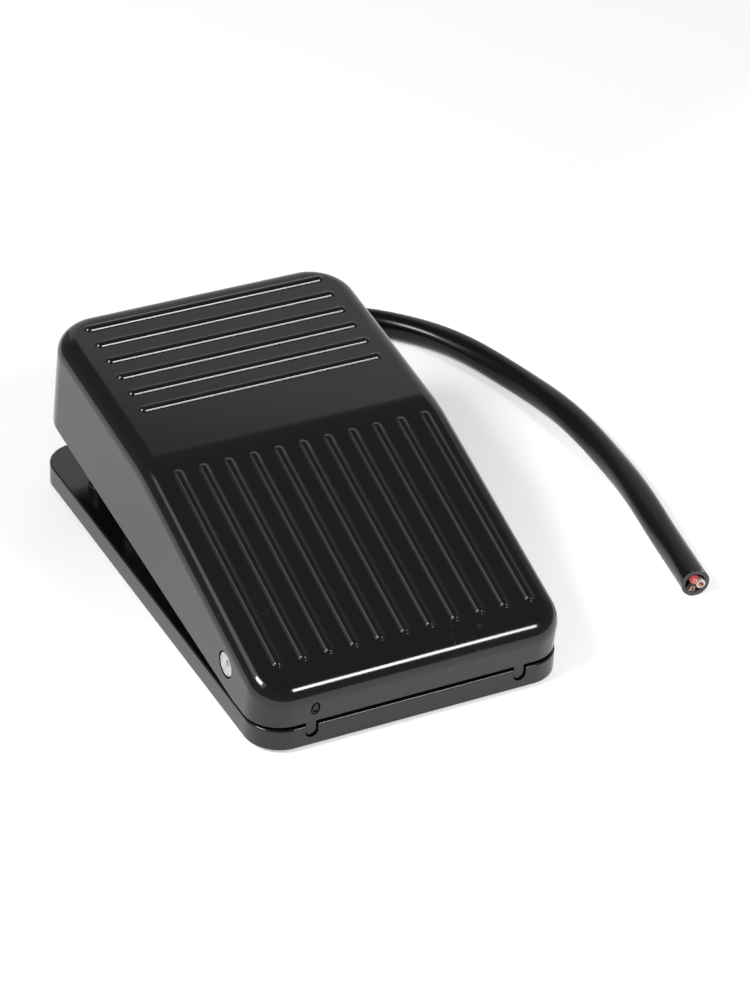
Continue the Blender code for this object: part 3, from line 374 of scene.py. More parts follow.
def add_arched_block(bm, low, high, along_axis, at_top=True, segments=14):
    """A block with one end round over its whole width, seen along X (0) or Y (1)."""
    block = bmesh.new()
    add_box(block, low, high)
    across = 1 - along_axis
    end = high[2] if at_top else low[2]
    edges = [
        e for e in block.edges
        if all(abs(v.co.z - end) < TINY for v in e.verts)
        and abs(e.verts[0].co[across] - e.verts[1].co[across]) < TINY
    ]
    bevel_edges(block, edges, (high[across] - low[across]) / 2 - TINY, segments)
    add_mesh(bm, block)


def add_turned(bm, profile, place, sides=48):
    """A solid turned about +Z. The profile is (radius, height) from one end of the axis to the other."""
    rings = []
    for radius, height in profile:
        if radius < TINY:
            rings.append([bm.verts.new(place @ Vector((0.0, 0.0, height)))])
            continue
        rings.append([
            bm.verts.new(place @ Vector((
                radius * math.cos(2 * math.pi * step / sides),
                radius * math.sin(2 * math.pi * step / sides), height,
            )))
            for step in range(sides)
        ])
    for lower, upper in zip(rings, rings[1:]):
        for step in range(sides):
            following = (step + 1) % sides
            corners = [lower[step % len(lower)], lower[following % len(lower)],
                       upper[following % len(upper)], upper[step % len(upper)]]
            bm.faces.new(list(dict.fromkeys(corners)))
    bmesh.ops.recalc_face_normals(bm, faces=bm.faces)


def rounded_profile(corners, rounding, segments=4):
    """A profile whose inner corners are replaced by short arcs."""
    points = [Vector(corner) for corner in corners]
    rounded = [points[0]]
    for before, corner, after in zip(points, points[1:], points[2:]):
        reach = min(rounding, (before - corner).length / 2, (after - corner).length / 2)
        start = corner + (before - corner).normalized() * reach
        end = corner + (after - corner).normalized() * reach
        for step in range(segments + 1):
            t = step / segments
            rounded.append(start * (1 - t) ** 2 + corner * (2 * t * (1 - t)) + end * t ** 2)
    rounded.append(points[-1])
    return [(point.x, point.y) for point in rounded]


def post_profile(radius, bottom, top, rounding):
    return rounded_profile(((0.0, bottom), (radius, bottom), (radius, top), (0.0, top)), rounding)


def trim(bm, point, normal):
    """Cuts away everything on the side the normal points to, and closes the cut."""
    cut = bmesh.ops.bisect_plane(
        bm, geom=bm.verts[:] + bm.edges[:] + bm.faces[:], plane_co=point, plane_no=normal,
        clear_outer=True,
    )
    rim = [item for item in cut["geom_cut"] if isinstance(item, bmesh.types.BMEdge)]
    bmesh.ops.contextual_create(bm, geom=rim)
    bmesh.ops.recalc_face_normals(bm, faces=bm.faces)


def smooth_points(route, spacing):
    """Evenly spaced points on a smooth curve through the route's points."""
    padded = [2 * route[0] - route[1], *route, 2 * route[-1] - route[-2]]
    fine = []
    for before, start, end, after in zip(padded, padded[1:], padded[2:], padded[3:]):
        for step in range(CURVE_STEPS):
            t = step / CURVE_STEPS
            fine.append(0.5 * (
                2 * start + (end - before) * t + (2 * before - 5 * start + 4 * end - after) * t ** 2
                + (3 * start - before - 3 * end + after) * t ** 3
            ))
    fine.append(route[-1])
    travelled = [0.0]
    for start, end in zip(fine, fine[1:]):
        travelled.append(travelled[-1] + (end - start).length)
    count = max(2, round(travelled[-1] / spacing))
    points = []
    place = 0
    for index in range(count + 1):
        wanted = travelled[-1] * index / count
        while place < len(fine) - 2 and travelled[place + 1] < wanted:
            place += 1
        share = (wanted - travelled[place]) / (travelled[place + 1] - travelled[place])
        points.append(fine[place].lerp(fine[place + 1], min(1.0, share)))
    return points


def frames_along(points):
    """For each point, the two directions across the line, carried along without twist."""
    tangents = [
        (points[min(i + 1, len(points) - 1)] - points[max(i - 1, 0)]).normalized()
        for i in range(len(points))
    ]
    side = tangents[0].orthogonal().normalized()
    across = []
    for tangent in tangents:
        side = (side - tangent * side.dot(tangent)).normalized()
        across.append((side, tangent.cross(side)))
    return across


def add_tube(bm, points, radius_at, sides):
    """A tube with flat ends. radius_at(index, angle) gives its radius there."""
    rings = []
    for index, (point, (side, other)) in enumerate(zip(points, frames_along(points))):
        ring = []
        for step in range(sides):
            angle = 2 * math.pi * step / sides
            offset = side * math.cos(angle) + other * math.sin(angle)
            ring.append(bm.verts.new(point + offset * radius_at(index, angle)))
        rings.append(ring)
    for first, second in zip(rings, rings[1:]):
        join_rings(bm, first, second)
    bm.faces.new(rings[0][::-1])
    bm.faces.new(rings[-1])
    return rings


def to_metres(route_mm):
    return [Vector(point) * MM for point in route_mm]


# ---- objects ----


def new_piece(name, bm):
    mesh = bpy.data.meshes.new(name)
    bm.to_mesh(mesh)
    bm.free()
    piece = bpy.data.objects.new(name, mesh)
    bpy.context.scene.collection.objects.link(piece)
    return piece


def apply_modifiers(piece):
    bpy.context.view_layer.update()
    applied = piece.evaluated_get(bpy.context.evaluated_depsgraph_get())
    mesh = bpy.data.meshes.new_from_object(applied)
    old = piece.data
    piece.modifiers.clear()
    piece.data = mesh
    bpy.data.meshes.remove(old)


def combine(piece, bm, operation):
    """Joins a shape to a piece, or cuts it out, at once."""
    tool = new_piece("tool", bm)
    modifier = piece.modifiers.new("tool", "BOOLEAN")
    modifier.operation = operation
    modifier.object = tool
    apply_modifiers(piece)
    mesh = tool.data
    bpy.data.objects.remove(tool)
    bpy.data.meshes.remove(mesh)


def shade(piece, angle=30.0, weighted=True):
    """Smooth shading that keeps sharp edges, with flat faces kept flat."""
    piece.data.shade_smooth()
    piece.data.set_sharp_from_angle(angle=math.radians(angle))
    if weighted:
        normals = piece.modifiers.new("normals", "WEIGHTED_NORMAL")
        normals.keep_sharp = True
        normals.weight = 80


def finish_piece(piece, material, slot, body, *replaced):
    piece.data.materials.clear()
    piece.data.materials.append(material)
    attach(piece, body)
    if replaced:
        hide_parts(*replaced)
    return piece


# ---- materials ----


class Nodes:
    """A material's node tree, with short calls for the nodes that the finishes share."""

    def __init__(self, name):
        self.material = bpy.data.materials.new(name)
        self.material.use_nodes = True
        self.tree = self.material.node_tree
        self.shader = self.tree.nodes["Principled BSDF"]
        self.place = self.add("ShaderNodeTexCoord").outputs["Object"]

    def add(self, kind, **settings):
        node = self.tree.nodes.new(kind)
        for key, value in settings.items():
            setattr(node, key, value)
        return node

    def link(self, output, target):
        self.tree.links.new(output, target)

    def feed(self, sockets, values):
        """Sets each socket to its value, or links it where the value is another node's output."""
        for socket, value in zip(sockets, values):
            if isinstance(value, bpy.types.NodeSocket):
                self.link(value, socket)
            else:
                socket.default_value = value

    def noise(self, scale, detail=2.0, roughness=0.5, stretch=(1.0, 1.0, 1.0)):
        place = self.place
        if stretch != (1.0, 1.0, 1.0):
            mapping = self.add("ShaderNodeMapping")
            mapping.inputs["Scale"].default_value = stretch
            self.link(place, mapping.inputs["Vector"])
            place = mapping.outputs["Vector"]
        node = self.add("ShaderNodeTexNoise")
        node.inputs["Scale"].default_value = scale
        node.inputs["Detail"].default_value = detail
        node.inputs["Roughness"].default_value = roughness
        self.link(place, node.inputs["Vector"])
        return node.outputs["Fac"]

    def ramp(self, value, low, high):
        """Black up to low, white from high on."""
        node = self.add("ShaderNodeValToRGB")
        first, last = node.color_ramp.elements
        first.position, last.position = low, high
        self.link(value, node.inputs["Fac"])
        return node.outputs["Color"]

    def between(self, value, low, high, low_out, high_out):
        node = self.add("ShaderNodeMapRange")
        ends = {"From Min": low, "From Max": high, "To Min": low_out, "To Max": high_out}
        for key, number in ends.items():
            node.inputs[key].default_value = number
        self.link(value, node.inputs["Value"])
        return node.outputs["Result"]

    def math(self, operation, first, second):
        node = self.add("ShaderNodeMath", operation=operation)
        self.feed(node.inputs, (first, second))
        return node.outputs["Value"]

    def mix(self, factor, first, second):
        node = self.add("ShaderNodeMix", data_type="RGBA")
        self.feed((node.inputs[0], node.inputs[6], node.inputs[7]), (factor, first, second))
        return node.outputs[2]

    def bump(self, height, distance, strength=1.0, normal=None):
        node = self.add("ShaderNodeBump")
        node.inputs["Distance"].default_value = distance
        node.inputs["Strength"].default_value = strength
        self.link(height, node.inputs["Height"])
        if normal is not None:
            self.link(normal, node.inputs["Normal"])
        return node.outputs["Normal"]

    def scuffs(self):
        """A few small worn spots, 1 on a spot and 0 beside it."""
        marks = self.ramp(self.noise(700.0, 4.0, 0.7, (1.0, 0.5, 1.0)), 0.60, 0.68)
        patches = self.ramp(self.noise(55.0, 1.0), 0.66, 0.72)
        return self.math("MULTIPLY", marks, patches)


def black_plastic(name, roughness, color=0.004, ior=1.5):
    """Black plastic: very fine grain, faint flow marks, a few small scuffs and grey where it is cut."""
    nodes = Nodes(name)
    shader = nodes.shader
    grain = nodes.noise(5200.0, 3.0, 0.6)
    flow = nodes.noise(26.0, 2.0, 0.5, (1.0, 0.35, 1.0))
    scuff = nodes.scuffs()
    base = nodes.mix(flow, (color * 0.85,) * 3 + (1.0,), (color * 1.2,) * 3 + (1.0,))
    worn = nodes.mix(nodes.math("MULTIPLY", scuff, 0.2), base, (0.1, 0.1, 0.1, 1.0))
    cut = nodes.add("ShaderNodeAttribute", attribute_name="cut").outputs["Fac"]
    nodes.link(nodes.mix(cut, worn, (0.07, 0.07, 0.072, 1.0)), shader.inputs["Base Color"])
    rough = nodes.between(flow, 0.3, 0.7, roughness - 0.02, roughness + 0.02)
    rough = nodes.math("ADD", rough, nodes.math("MULTIPLY", scuff, 0.15))
    nodes.link(nodes.math("ADD", rough, nodes.math("MULTIPLY", cut, 0.4)), shader.inputs["Roughness"])
    shader.inputs["IOR"].default_value = ior
    fine = nodes.bump(grain, 0.004 * MM, 0.5)
    nodes.link(nodes.bump(nodes.math("SUBTRACT", flow, scuff), 0.015 * MM, 0.3, fine),
               shader.inputs["Normal"])
    return nodes.material


def soft_plastic(name, color, roughness, variation=0.25, depth=0.01 * MM):
    """Moulded or extruded coloured plastic or rubber."""
    nodes = Nodes(name)
    shader = nodes.shader
    broad = nodes.noise(60.0, 3.0)
    fine = nodes.noise(3000.0, 2.0, 0.6)
    dark = tuple(c * (1 - variation) for c in color) + (1.0,)
    light = tuple(min(1.0, c * (1 + variation)) for c in color) + (1.0,)
    nodes.link(nodes.mix(broad, dark, light), shader.inputs["Base Color"])
    nodes.link(nodes.between(broad, 0.25, 0.75, roughness - 0.05, roughness + 0.06),
               shader.inputs["Roughness"])
    nodes.link(nodes.bump(fine, depth, 0.6), shader.inputs["Normal"])
    return nodes.material


def metal(name, color, roughness, stains=180.0):
    """Bright metal with fine marks and a few darker stains."""
    nodes = Nodes(name)
    shader = nodes.shader
    shader.inputs["Metallic"].default_value = 1.0
    marks = nodes.noise(900.0, 3.0, 0.6)
    stain = nodes.noise(stains, 4.0, 0.6)
    dark = tuple(c * 0.6 for c in color) + (1.0,)
    nodes.link(nodes.mix(nodes.ramp(stain, 0.35, 0.6), dark, tuple(color) + (1.0,)),
               shader.inputs["Base Color"])
    nodes.link(nodes.between(marks, 0.3, 0.7, roughness - 0.07, roughness + 0.1),
               shader.inputs["Roughness"])
    nodes.link(nodes.bump(marks, 0.008 * MM, 0.6), shader.inputs["Normal"])
    return nodes.material


# ---- cable ----


def make_cable():
    """The jacket, hollow at its cut end, with the faint lay of the cores showing through."""
    points = smooth_points(to_metres(CABLE_ROUTE_MM), CABLE_STEP)
    lay_length = CABLE_LAY_PITCH / CABLE_STEP

    def radius_at(index, angle):
        lay = math.cos(3 * (angle - 2 * math.pi * index / (3 * lay_length)))
        return CABLE_RADIUS - CABLE_LAY_DEPTH * (1 - lay) / 2

    bm = bmesh.new()
    rings = add_tube(bm, points, radius_at, CABLE_SIDES)
    end, direction = points[-1], (points[-1] - points[-2]).normalized()
    bm.faces.remove(next(f for f in bm.faces if set(f.verts) == set(rings[-1])))
    cut = bm.faces.layers.float.new("cut")
    outline = rings[-1]
    for radius, depth in JACKET_CUT_MM:
        inner = [
            bm.verts.new(end + (v.co - end).normalized() * radius * MM - direction * depth * MM)
            for v in rings[-1]
        ]
        for face in join_rings(bm, outline, inner):
            face[cut] = 1.0
        outline = inner
    bm.faces.new(outline)
    bmesh.ops.recalc_face_normals(bm, faces=bm.faces)
    jacket = new_piece("cable_sheath", bm)
    shade(jacket, 40.0)
    finish_piece(jacket, CABLE_SKIN, "cable_pvc", "base", "cable_jacket")
    return jacket, points, end, direction


def make_core_ends(end, direction):
    """The three insulated cores in the cut end, each with its bundle of copper strands."""
    pieces = []
    right = direction.cross(Vector((0.0, 0.0, 1.0))).normalized()
    up = right.cross(direction)
    chance = random.Random(7)
    for color, (across, above) in CORE_OFFSETS_MM.items():
        centre = end + right * across * MM + up * above * MM
        tip = centre + direction * (CORE_TIPS_MM[color] * MM)
        bm = bmesh.new()
        profile = rounded_profile((
            (0.0, -CORE_LENGTH), (CORE_RADIUS, -CORE_LENGTH), (CORE_RADIUS, 0.0), (CORE_BORE, 0.0),
            (CORE_BORE, -CORE_BORE_DEPTH), (0.0, -CORE_BORE_DEPTH),
        ), 0.08 * MM, 2)
        add_turned(bm, profile, along(tip, tip + direction), 32)
        core = new_piece(f"core_end_{color}", bm)
        shade(core, 50.0)
        pieces.append(finish_piece(core, CORE_SKINS[color], f"{color}_core", "base", f"cut_core_{color}"))
        bm = bmesh.new()
        for index in range(OUTER_STRANDS + 1):
            ring = 0.0 if index == 0 else STRAND_RING
            turn = 2 * math.pi * index / OUTER_STRANDS
            outward = right * math.cos(turn) + up * math.sin(turn)
            start = tip + outward * ring - direction * MM
            lean = outward * chance.uniform(0.0, 0.22) * MM
            finish = start + direction * (MM + chance.uniform(0.1, 0.55) * MM) + lean
            wire = smooth_points([start, (start + finish) / 2 - lean * 0.25, finish], 0.4 * MM)
            add_tube(bm, wire, lambda _index, _angle: STRAND_RADIUS, 10)
        bundle = new_piece(f"strands_{color}", bm)
        shade(bundle, 50.0, weighted=False)
        pieces.append(finish_piece(bundle, COPPER, "copper_strip", "base"))
    return pieces


def make_strain_relief():
    """A tapered rubber sleeve with flex rings, held in the base's slot by its neck."""
    low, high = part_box("strain_relief")
    rings_out = [(radius * MM, y * MM) for radius, y in RELIEF_OUTER_MM]
    outline = rounded_profile((
        (RELIEF_BORE, high.y), (RELIEF_TIP_RADIUS, high.y), *rings_out,
        (RELIEF_TAIL_RADIUS, low.y), (RELIEF_BORE, low.y),
    ), 0.18 * MM, 3)
    bm = bmesh.new()
    add_turned(bm, outline, along(Vector((0.0, 0.0, GLAND_Z)), Vector((0.0, 1.0, GLAND_Z))), 64)
    rings = [e for e in bm.edges if e.is_boundary]
    bmesh.ops.bridge_loops(bm, edges=rings)
    bmesh.ops.recalc_face_normals(bm, faces=bm.faces)
    relief = new_piece("relief_sleeve", bm)
    shade(relief, 40.0)
    return finish_piece(relief, RELIEF_RUBBER, "cable_pvc", "base", "strain_relief")


def make_inner_wires():
    for color, route_mm in INNER_ROUTES_MM.items():
        bm = bmesh.new()
        points = smooth_points(to_metres(route_mm), 0.7 * MM)
        add_tube(bm, points, lambda _index, _angle: INNER_WIRE_RADIUS, 18)
        wire = new_piece(f"hookup_wire_{color}", bm)
        shade(wire, 50.0)
        finish_piece(wire, CORE_SKINS[color], f"{color}_core", "base", f"inner_wire_{color}")


# ---- base ----


def make_base():
    bm = bmesh.new()
    edges = ((DECK, BASE_EDGE), (BASE_UNDERSIDE, BASE_FOOT_EDGE))
    add_slab(bm, HALF_WIDTH, HALF_LENGTH, BASE_UNDERSIDE, DECK, CORNER_RADIUS, edges)
    base = new_piece("base_shell", bm)
    hollow = bmesh.new()
    inner_x, inner_y = HALF_WIDTH - BASE_WALL, HALF_LENGTH - BASE_WALL
    add_slab(hollow, inner_x, inner_y, BASE_UNDERSIDE - ROOT, DECK_UNDERSIDE, CORNER_RADIUS - BASE_WALL)
    combine(base, hollow, "DIFFERENCE")
    features = bmesh.new()
    root = DECK - ROOT
    for side in (-1, 1):
        inner, outer = sorted((side * LUG_INNER_X, side * LUG_OUTER_X))
        low = (inner, PIVOT.y - LUG_RADIUS, root)
        add_arched_block(features, low, (outer, PIVOT.y + LUG_RADIUS, PIVOT.z + LUG_RADIUS), 0)
    bracket = CASE_HIGH.x + GAP
    high = (bracket + BRACKET_THICKNESS, CASE_HIGH.y, BRACKET_TOP)
    add_block(features, (bracket, CASE_LOW.y, root), high)
    add_block(features, (-WALL_HALF_WIDTH, WALL_FRONT, root), (WALL_HALF_WIDTH, WALL_BACK, WALL_TOP))
    seat = CLAMP_HIGH.x
    add_block(features, (-seat, CLAMP_LOW.y, root), (seat, CLAMP_HIGH.y, CLAMP_SEAT_TOP))
    for x in (-SPRING_X, SPRING_X):
        place = Matrix.Translation((x, SPRING_Y, DECK))
        add_turned(features, post_profile(SPRING_POST_RADIUS, -ROOT, SPRING_POST_HEIGHT, 0.4 * MM), place)
    for centre in PLATE_SCREWS.values():
        place = Matrix.Translation((centre.x, centre.y, 0.0))
        add_turned(features, post_profile(BOSS_RADIUS, root, BOSS_TOP, 0.3 * MM), place)
    combine(base, features, "UNION")
    holes = bmesh.new()
    add_rod(holes, (-HALF_WIDTH, PIVOT.y, PIVOT.z), (HALF_WIDTH, PIVOT.y, PIVOT.z), LUG_HOLE_RADIUS)
    slot = WALL_SLOT_HALF_WIDTH
    low = (-slot, WALL_FRONT - ROOT, GLAND_Z - slot)
    add_arched_block(holes, low, (slot, WALL_BACK + ROOT, WALL_TOP + ROOT), 1, at_top=False)
    for centre in PLATE_SCREWS.values():
        add_upright(holes, centre, PLATE_HIGH.z, PLATE_SCREW_TIP + GAP, SCREW_HOLE_RADIUS, 28)
    y = (CLAMP_LOW.y + CLAMP_HIGH.y) / 2
    for x in (-CLAMP_SCREW_X, CLAMP_SCREW_X):
        add_upright(holes, (x, y), CLAMP_SCREW_TIP - GAP, CLAMP_SEAT_TOP + ROOT, SCREW_HOLE_RADIUS, 28)
    for node in ("switch_screw_front", "switch_screw_rear"):
        low, high, centre = frame_box(node)
        start, end = (CASE_HIGH.x, centre.y, centre.z), (high.x + ROOT, centre.y, centre.z)
        add_rod(holes, start, end, SCREW_HOLE_RADIUS, 28)
    for x in (-TAB_X, TAB_X):
        low = (x - NOTCH_HALF_WIDTH, -HALF_LENGTH - ROOT, NOTCH_BOTTOM)
        add_arched_block(holes, low, (x + NOTCH_HALF_WIDTH, NOTCH_BACK, DECK + ROOT), 1, at_top=False)
    combine(base, holes, "DIFFERENCE")
    shade(base)
    finish_piece(base, BASE_PLASTIC, "black_plastic", "base", "base_housing")


def make_bottom_plate():
    bm = bmesh.new()
    half_x, half_y = PLATE_HIGH.x, PLATE_HIGH.y
    corner = CORNER_RADIUS - (HALF_WIDTH - half_x)
    add_slab(bm, half_x, half_y, PLATE_LOW.z, PLATE_HIGH.z, corner, ((PLATE_LOW.z, 0.2 * MM),))
    plate = new_piece("bottom_cover", bm)
    recesses = bmesh.new()
    below = PLATE_LOW.z - ROOT
    for node in frame["nodes"]:
        if node.startswith("rubber_foot_"):
            low, high, centre = frame_box(node)
            radius = (high.x - low.x) / 2 + GAP
            add_upright(recesses, centre, below, FOOT_RECESS_TOP, radius)
    for centre in PLATE_SCREWS.values():
        add_upright(recesses, centre, below, PLATE_HEAD_RECESS_TOP, SCREW_HEAD_RADIUS + GAP)
    combine(plate, recesses, "DIFFERENCE")
    holes = bmesh.new()
    for centre in PLATE_SCREWS.values():
        add_upright(holes, centre, below, PLATE_HIGH.z + ROOT, SCREW_HOLE_RADIUS, 28)
    combine(plate, holes, "DIFFERENCE")
    shade(plate)
    finish_piece(plate, BASE_PLASTIC, "black_plastic", "base", "bottom_plate")


def make_feet():
    """Rubber feet with a rounded edge and a shallow dish."""
    for node in frame["nodes"]:
        if not node.startswith("rubber_foot_"):
            continue
        low, high, centre = frame_box(node)
        radius = (high.x - low.x) / 2
        profile = rounded_profile((
            (0.0, 0.35 * MM), (radius - 1.5 * MM, 0.35 * MM), (radius - 1.2 * MM, 0.0), (radius, 0.0),
            (radius, high.z), (0.0, high.z),
        ), 0.25 * MM)
        bm = bmesh.new()
        add_turned(bm, profile, Matrix.Translation((centre.x, centre.y, 0.0)), 56)
        foot = new_piece(node.replace("rubber_foot", "foot_pad"), bm)
        shade(foot, 40.0)
        finish_piece(foot, RUBBER, "rubber", "base", node)


def make_screw(name, node, head_end, tip, head_height):
    """A pan-headed self-tapping screw with a cross recess, from its head's outer face to its tip."""
    head_end, tip = Vector(head_end), Vector(tip)
    place = along(head_end, tip)
    length = (tip - head_end).length
    core = SCREW_RADIUS - SCREW_THREAD_DEPTH
    edge = SCREW_HEAD_RADIUS - SCREW_HEAD_ROUNDING
    profile = [(0.0, 0.0)]
    for step in range(7):
        angle = math.pi / 2 * step / 6
        rise = SCREW_HEAD_ROUNDING * (1 - math.cos(angle))
        profile.append((edge + SCREW_HEAD_ROUNDING * math.sin(angle), rise))
    profile += [(SCREW_HEAD_RADIUS, head_height), (core, head_height)]
    height = head_height + 0.3 * MM
    while height + SCREW_THREAD_PITCH < length - SCREW_POINT:
        profile += [(core, height), (SCREW_RADIUS, height + 0.15 * MM), (SCREW_RADIUS, height + 0.2 * MM),
                    (core, height + 0.35 * MM)]
        height += SCREW_THREAD_PITCH
    profile += [(core, length - SCREW_POINT), (0.35 * MM, length), (0.0, length)]
    bm = bmesh.new()
    add_turned(bm, profile, place, 36)
    screw = new_piece(name, bm)
    for turn in (math.pi / 2, 0.0):
        slot = bmesh.new()
        add_box(slot, (-RECESS_HALF_LENGTH, -RECESS_HALF_WIDTH, -0.2 * MM),
                (RECESS_HALF_LENGTH, RECESS_HALF_WIDTH, head_height * 0.65))
        slot.transform(place @ Matrix.Rotation(turn + RECESS_TURN, 4, "Z"))
        combine(screw, slot, "DIFFERENCE")
    shade(screw, 35.0)
    finish_piece(screw, SCREW_STEEL, "screw_steel", "base", node)


def make_screws():
    for node in PLATE_SCREWS:
        low, high, centre = frame_box(node)
        start, end = (centre.x, centre.y, low.z), (centre.x, centre.y, high.z)
        make_screw(node.replace("plate_screw", "cover_screw"), node, start, end, 0.69 * MM)
    for side in ("left", "right"):
        node = f"clamp_screw_{side}"
        low, high, centre = frame_box(node)
        start, end = (centre.x, centre.y, high.z), (centre.x, centre.y, low.z)
        make_screw(f"saddle_screw_{side}", node, start, end, 1.1 * MM)
    for end_name in ("front", "rear"):
        node = f"switch_screw_{end_name}"
        low, high, centre = frame_box(node)
        start, end = (low.x, centre.y, centre.z), (high.x, centre.y, centre.z)
        make_screw(f"case_screw_{end_name}", node, start, end, 1.1 * MM)


def make_pin():
    """The steel pin, with rounded ends and a shear nick on each."""
    radius = (PIN_HIGH.z - PIN_LOW.z) / 2
    half = PIN_HIGH.x
    profile = [(0.0, -half)]
    for step in range(5):
        angle = math.pi / 2 * step / 4
        inward = PIN_EDGE * (1 - math.sin(angle))
        profile.append((radius - inward, -half + PIN_EDGE * (1 - math.cos(angle))))
    profile += [(profile_radius, -height) for profile_radius, height in reversed(profile)]
    bm = bmesh.new()
    start = Vector((0.0, PIVOT.y, PIVOT.z))
    add_turned(bm, profile, along(start, start + Vector((1.0, 0.0, 0.0))), 72)
    pin = new_piece("pivot_rod", bm)
    nick = bmesh.new()
    for x in (-half, half):
        corner = Vector((x, PIVOT.y - radius * 0.45, PIVOT.z + radius * 0.4))
        place = Matrix.Translation(corner) @ Matrix.Rotation(PIN_NICK_TURN, 4, "X")
        size = Vector(PIN_NICK_MM) * MM
        bmesh.ops.create_cube(nick, size=1.0, matrix=place @ Matrix.Diagonal((*size, 1.0)))
    combine(pin, nick, "DIFFERENCE")
    shade(pin, 35.0)
    finish_piece(pin, PIN_STEEL, "pin_steel", "base", "pivot_pin")


def make_clamp():
    """The saddle over the cable."""
    bm = bmesh.new()
    bottom = CLAMP_LOW.z
    half = CLAMP_HIGH.x
    add_block(bm, (-half, CLAMP_LOW.y, bottom), (half, CLAMP_HIGH.y, bottom + CLAMP_FOOT), 0.3 * MM)
    clamp = new_piece("cable_saddle", bm)
    outer = CLAMP_HIGH.z - GLAND_Z
    inner = CABLE_RADIUS + GAP
    band = bmesh.new()
    low = (-outer, CLAMP_LOW.y + 0.05 * MM, bottom)
    add_arched_block(band, low, (outer, CLAMP_HIGH.y - 0.05 * MM, CLAMP_HIGH.z), 1)
    combine(clamp, band, "UNION")
    openings = bmesh.new()
    low = (-inner, CLAMP_LOW.y - ROOT, bottom - ROOT)
    add_arched_block(openings, low, (inner, CLAMP_HIGH.y + ROOT, GLAND_Z + inner), 1)
    y = (CLAMP_LOW.y + CLAMP_HIGH.y) / 2
    for x in (-CLAMP_SCREW_X, CLAMP_SCREW_X):
        add_upright(openings, (x, y), bottom - ROOT, bottom + CLAMP_FOOT + ROOT, SCREW_HOLE_RADIUS, 28)
    combine(clamp, openings, "DIFFERENCE")
    shade(clamp)
    finish_piece(clamp, BASE_PLASTIC, "black_plastic", "base", "cable_clamp")


# ---- pedal ----


def in_pedal_axes(point):
    return Matrix.Rotation(-REST_ANGLE, 3, "X") @ (Vector(point) - PIVOT)


def pedal_skin():
    """The pedal's outside, open below: a block cut by the front tread's slope, with rounded edges."""
    bm = bmesh.new()
    add_box(bm, (-HALF_WIDTH, PEDAL_FRONT, PEDAL_BOTTOM), (HALF_WIDTH, PEDAL_BACK, PEDAL_TOP))
    upward = Vector((0.0, -math.sin(FRONT_SLOPE), math.cos(FRONT_SLOPE)))
    trim(bm, Vector((0.0, RIDGE_Y, PEDAL_TOP)), upward)
    downward = Vector((0.0, -math.sin(REST_ANGLE), -math.cos(REST_ANGLE)))
    trim(bm, in_pedal_axes((0.0, PIVOT.y, DECK + FRONT_GAP)), downward)
    ridge = [
        e for e in bm.edges
        if all(abs(v.co.y - RIDGE_Y) < TINY and abs(v.co.z - PEDAL_TOP) < TINY for v in e.verts)
    ]
    bevel_edges(bm, ridge, RIDGE_ROUNDING, 6)
    upright = [
        e for e in bm.edges
        if (e.verts[0].co - e.verts[1].co).xy.length < TINY and abs(e.verts[0].co.x) > HALF_WIDTH - TINY
    ]
    front = [e for e in upright if e.verts[0].co.y < 0]
    rear = [e for e in upright if e.verts[0].co.y > 0]
    bevel_edges(bm, front, CORNER_RADIUS, CORNER_SEGMENTS)
    bevel_edges(bm, rear, REAR_CORNER_RADIUS, CORNER_SEGMENTS)
    bm.normal_update()
    rim = [
        e for e in bm.edges
        if max(f.normal.z for f in e.link_faces) > 0.7
        and abs(min((f.normal.z for f in e.link_faces), key=abs)) < 0.3
    ]
    bevel_edges(bm, rim, TOP_FILLET, FILLET_SEGMENTS)
    bm.normal_update()
    underside = [f for f in bm.faces if f.normal.z < -0.7]
    bmesh.ops.delete(bm, geom=underside, context="FACES")
    return bm


def round_skirt_edge(piece):
    """Rounds the two lower edges of the pedal's skirt."""
    bm = bmesh.new()
    bm.from_mesh(piece.data)
    bm.normal_update()
    level = [f for f in bm.faces if f.normal.z < -0.9]
    edges = {e for f in level for e in f.edges if any(g.normal.z > -0.7 for g in e.link_faces)}
    bevel_edges(bm, list(edges), RIM_EDGE, 3)
    bm.to_mesh(piece.data)
    bm.free()


def rib_profile():
    """A rib's side as (distance from its centreline, height over the tread), from crest to root."""
    spread = RIB_CREST_RADIUS + RIB_FOOT_RADIUS
    rise = spread * (1 - math.cos(RIB_STEEPEST))
    slopes = [RIB_STEEPEST * step / RIB_STEPS for step in range(1, RIB_STEPS + 1)]
    profile = [
        (RIB_CREST_RADIUS * math.sin(slope), rise - RIB_CREST_RADIUS * (1 - math.cos(slope)))
        for slope in slopes
    ]
    profile += [
        (spread * math.sin(RIB_STEEPEST) - RIB_FOOT_RADIUS * math.sin(slope),
         RIB_FOOT_RADIUS * (1 - math.cos(slope)))
        for slope in reversed(slopes[1:-1])
    ]
    profile.append((profile[-1][0], -PEDAL_WALL / 2))
    return profile


def add_rib(bm, start, end, upward):
    """A bead with round ends between two points of the tread."""
    forward = (end - start).normalized()
    side = forward.cross(upward).normalized()
    rings = []
    for distance, height in rib_profile():
        ring = []
        for centre, turn in ((end, 0.0), (start, math.pi)):
            for step in range(RIB_END_SIDES + 1):
                angle = turn + math.pi * step / RIB_END_SIDES
                offset = side * math.cos(angle) + forward * math.sin(angle)
                ring.append(bm.verts.new(centre + offset * distance + upward * height))
        rings.append(ring)
    for upper, lower in zip(rings, rings[1:]):
        for step in range(len(upper)):
            after = (step + 1) % len(upper)
            bm.faces.new((upper[step], lower[step], lower[after], upper[after]))
    bm.faces.new(rings[0])
    bm.faces.new(rings[-1][::-1])


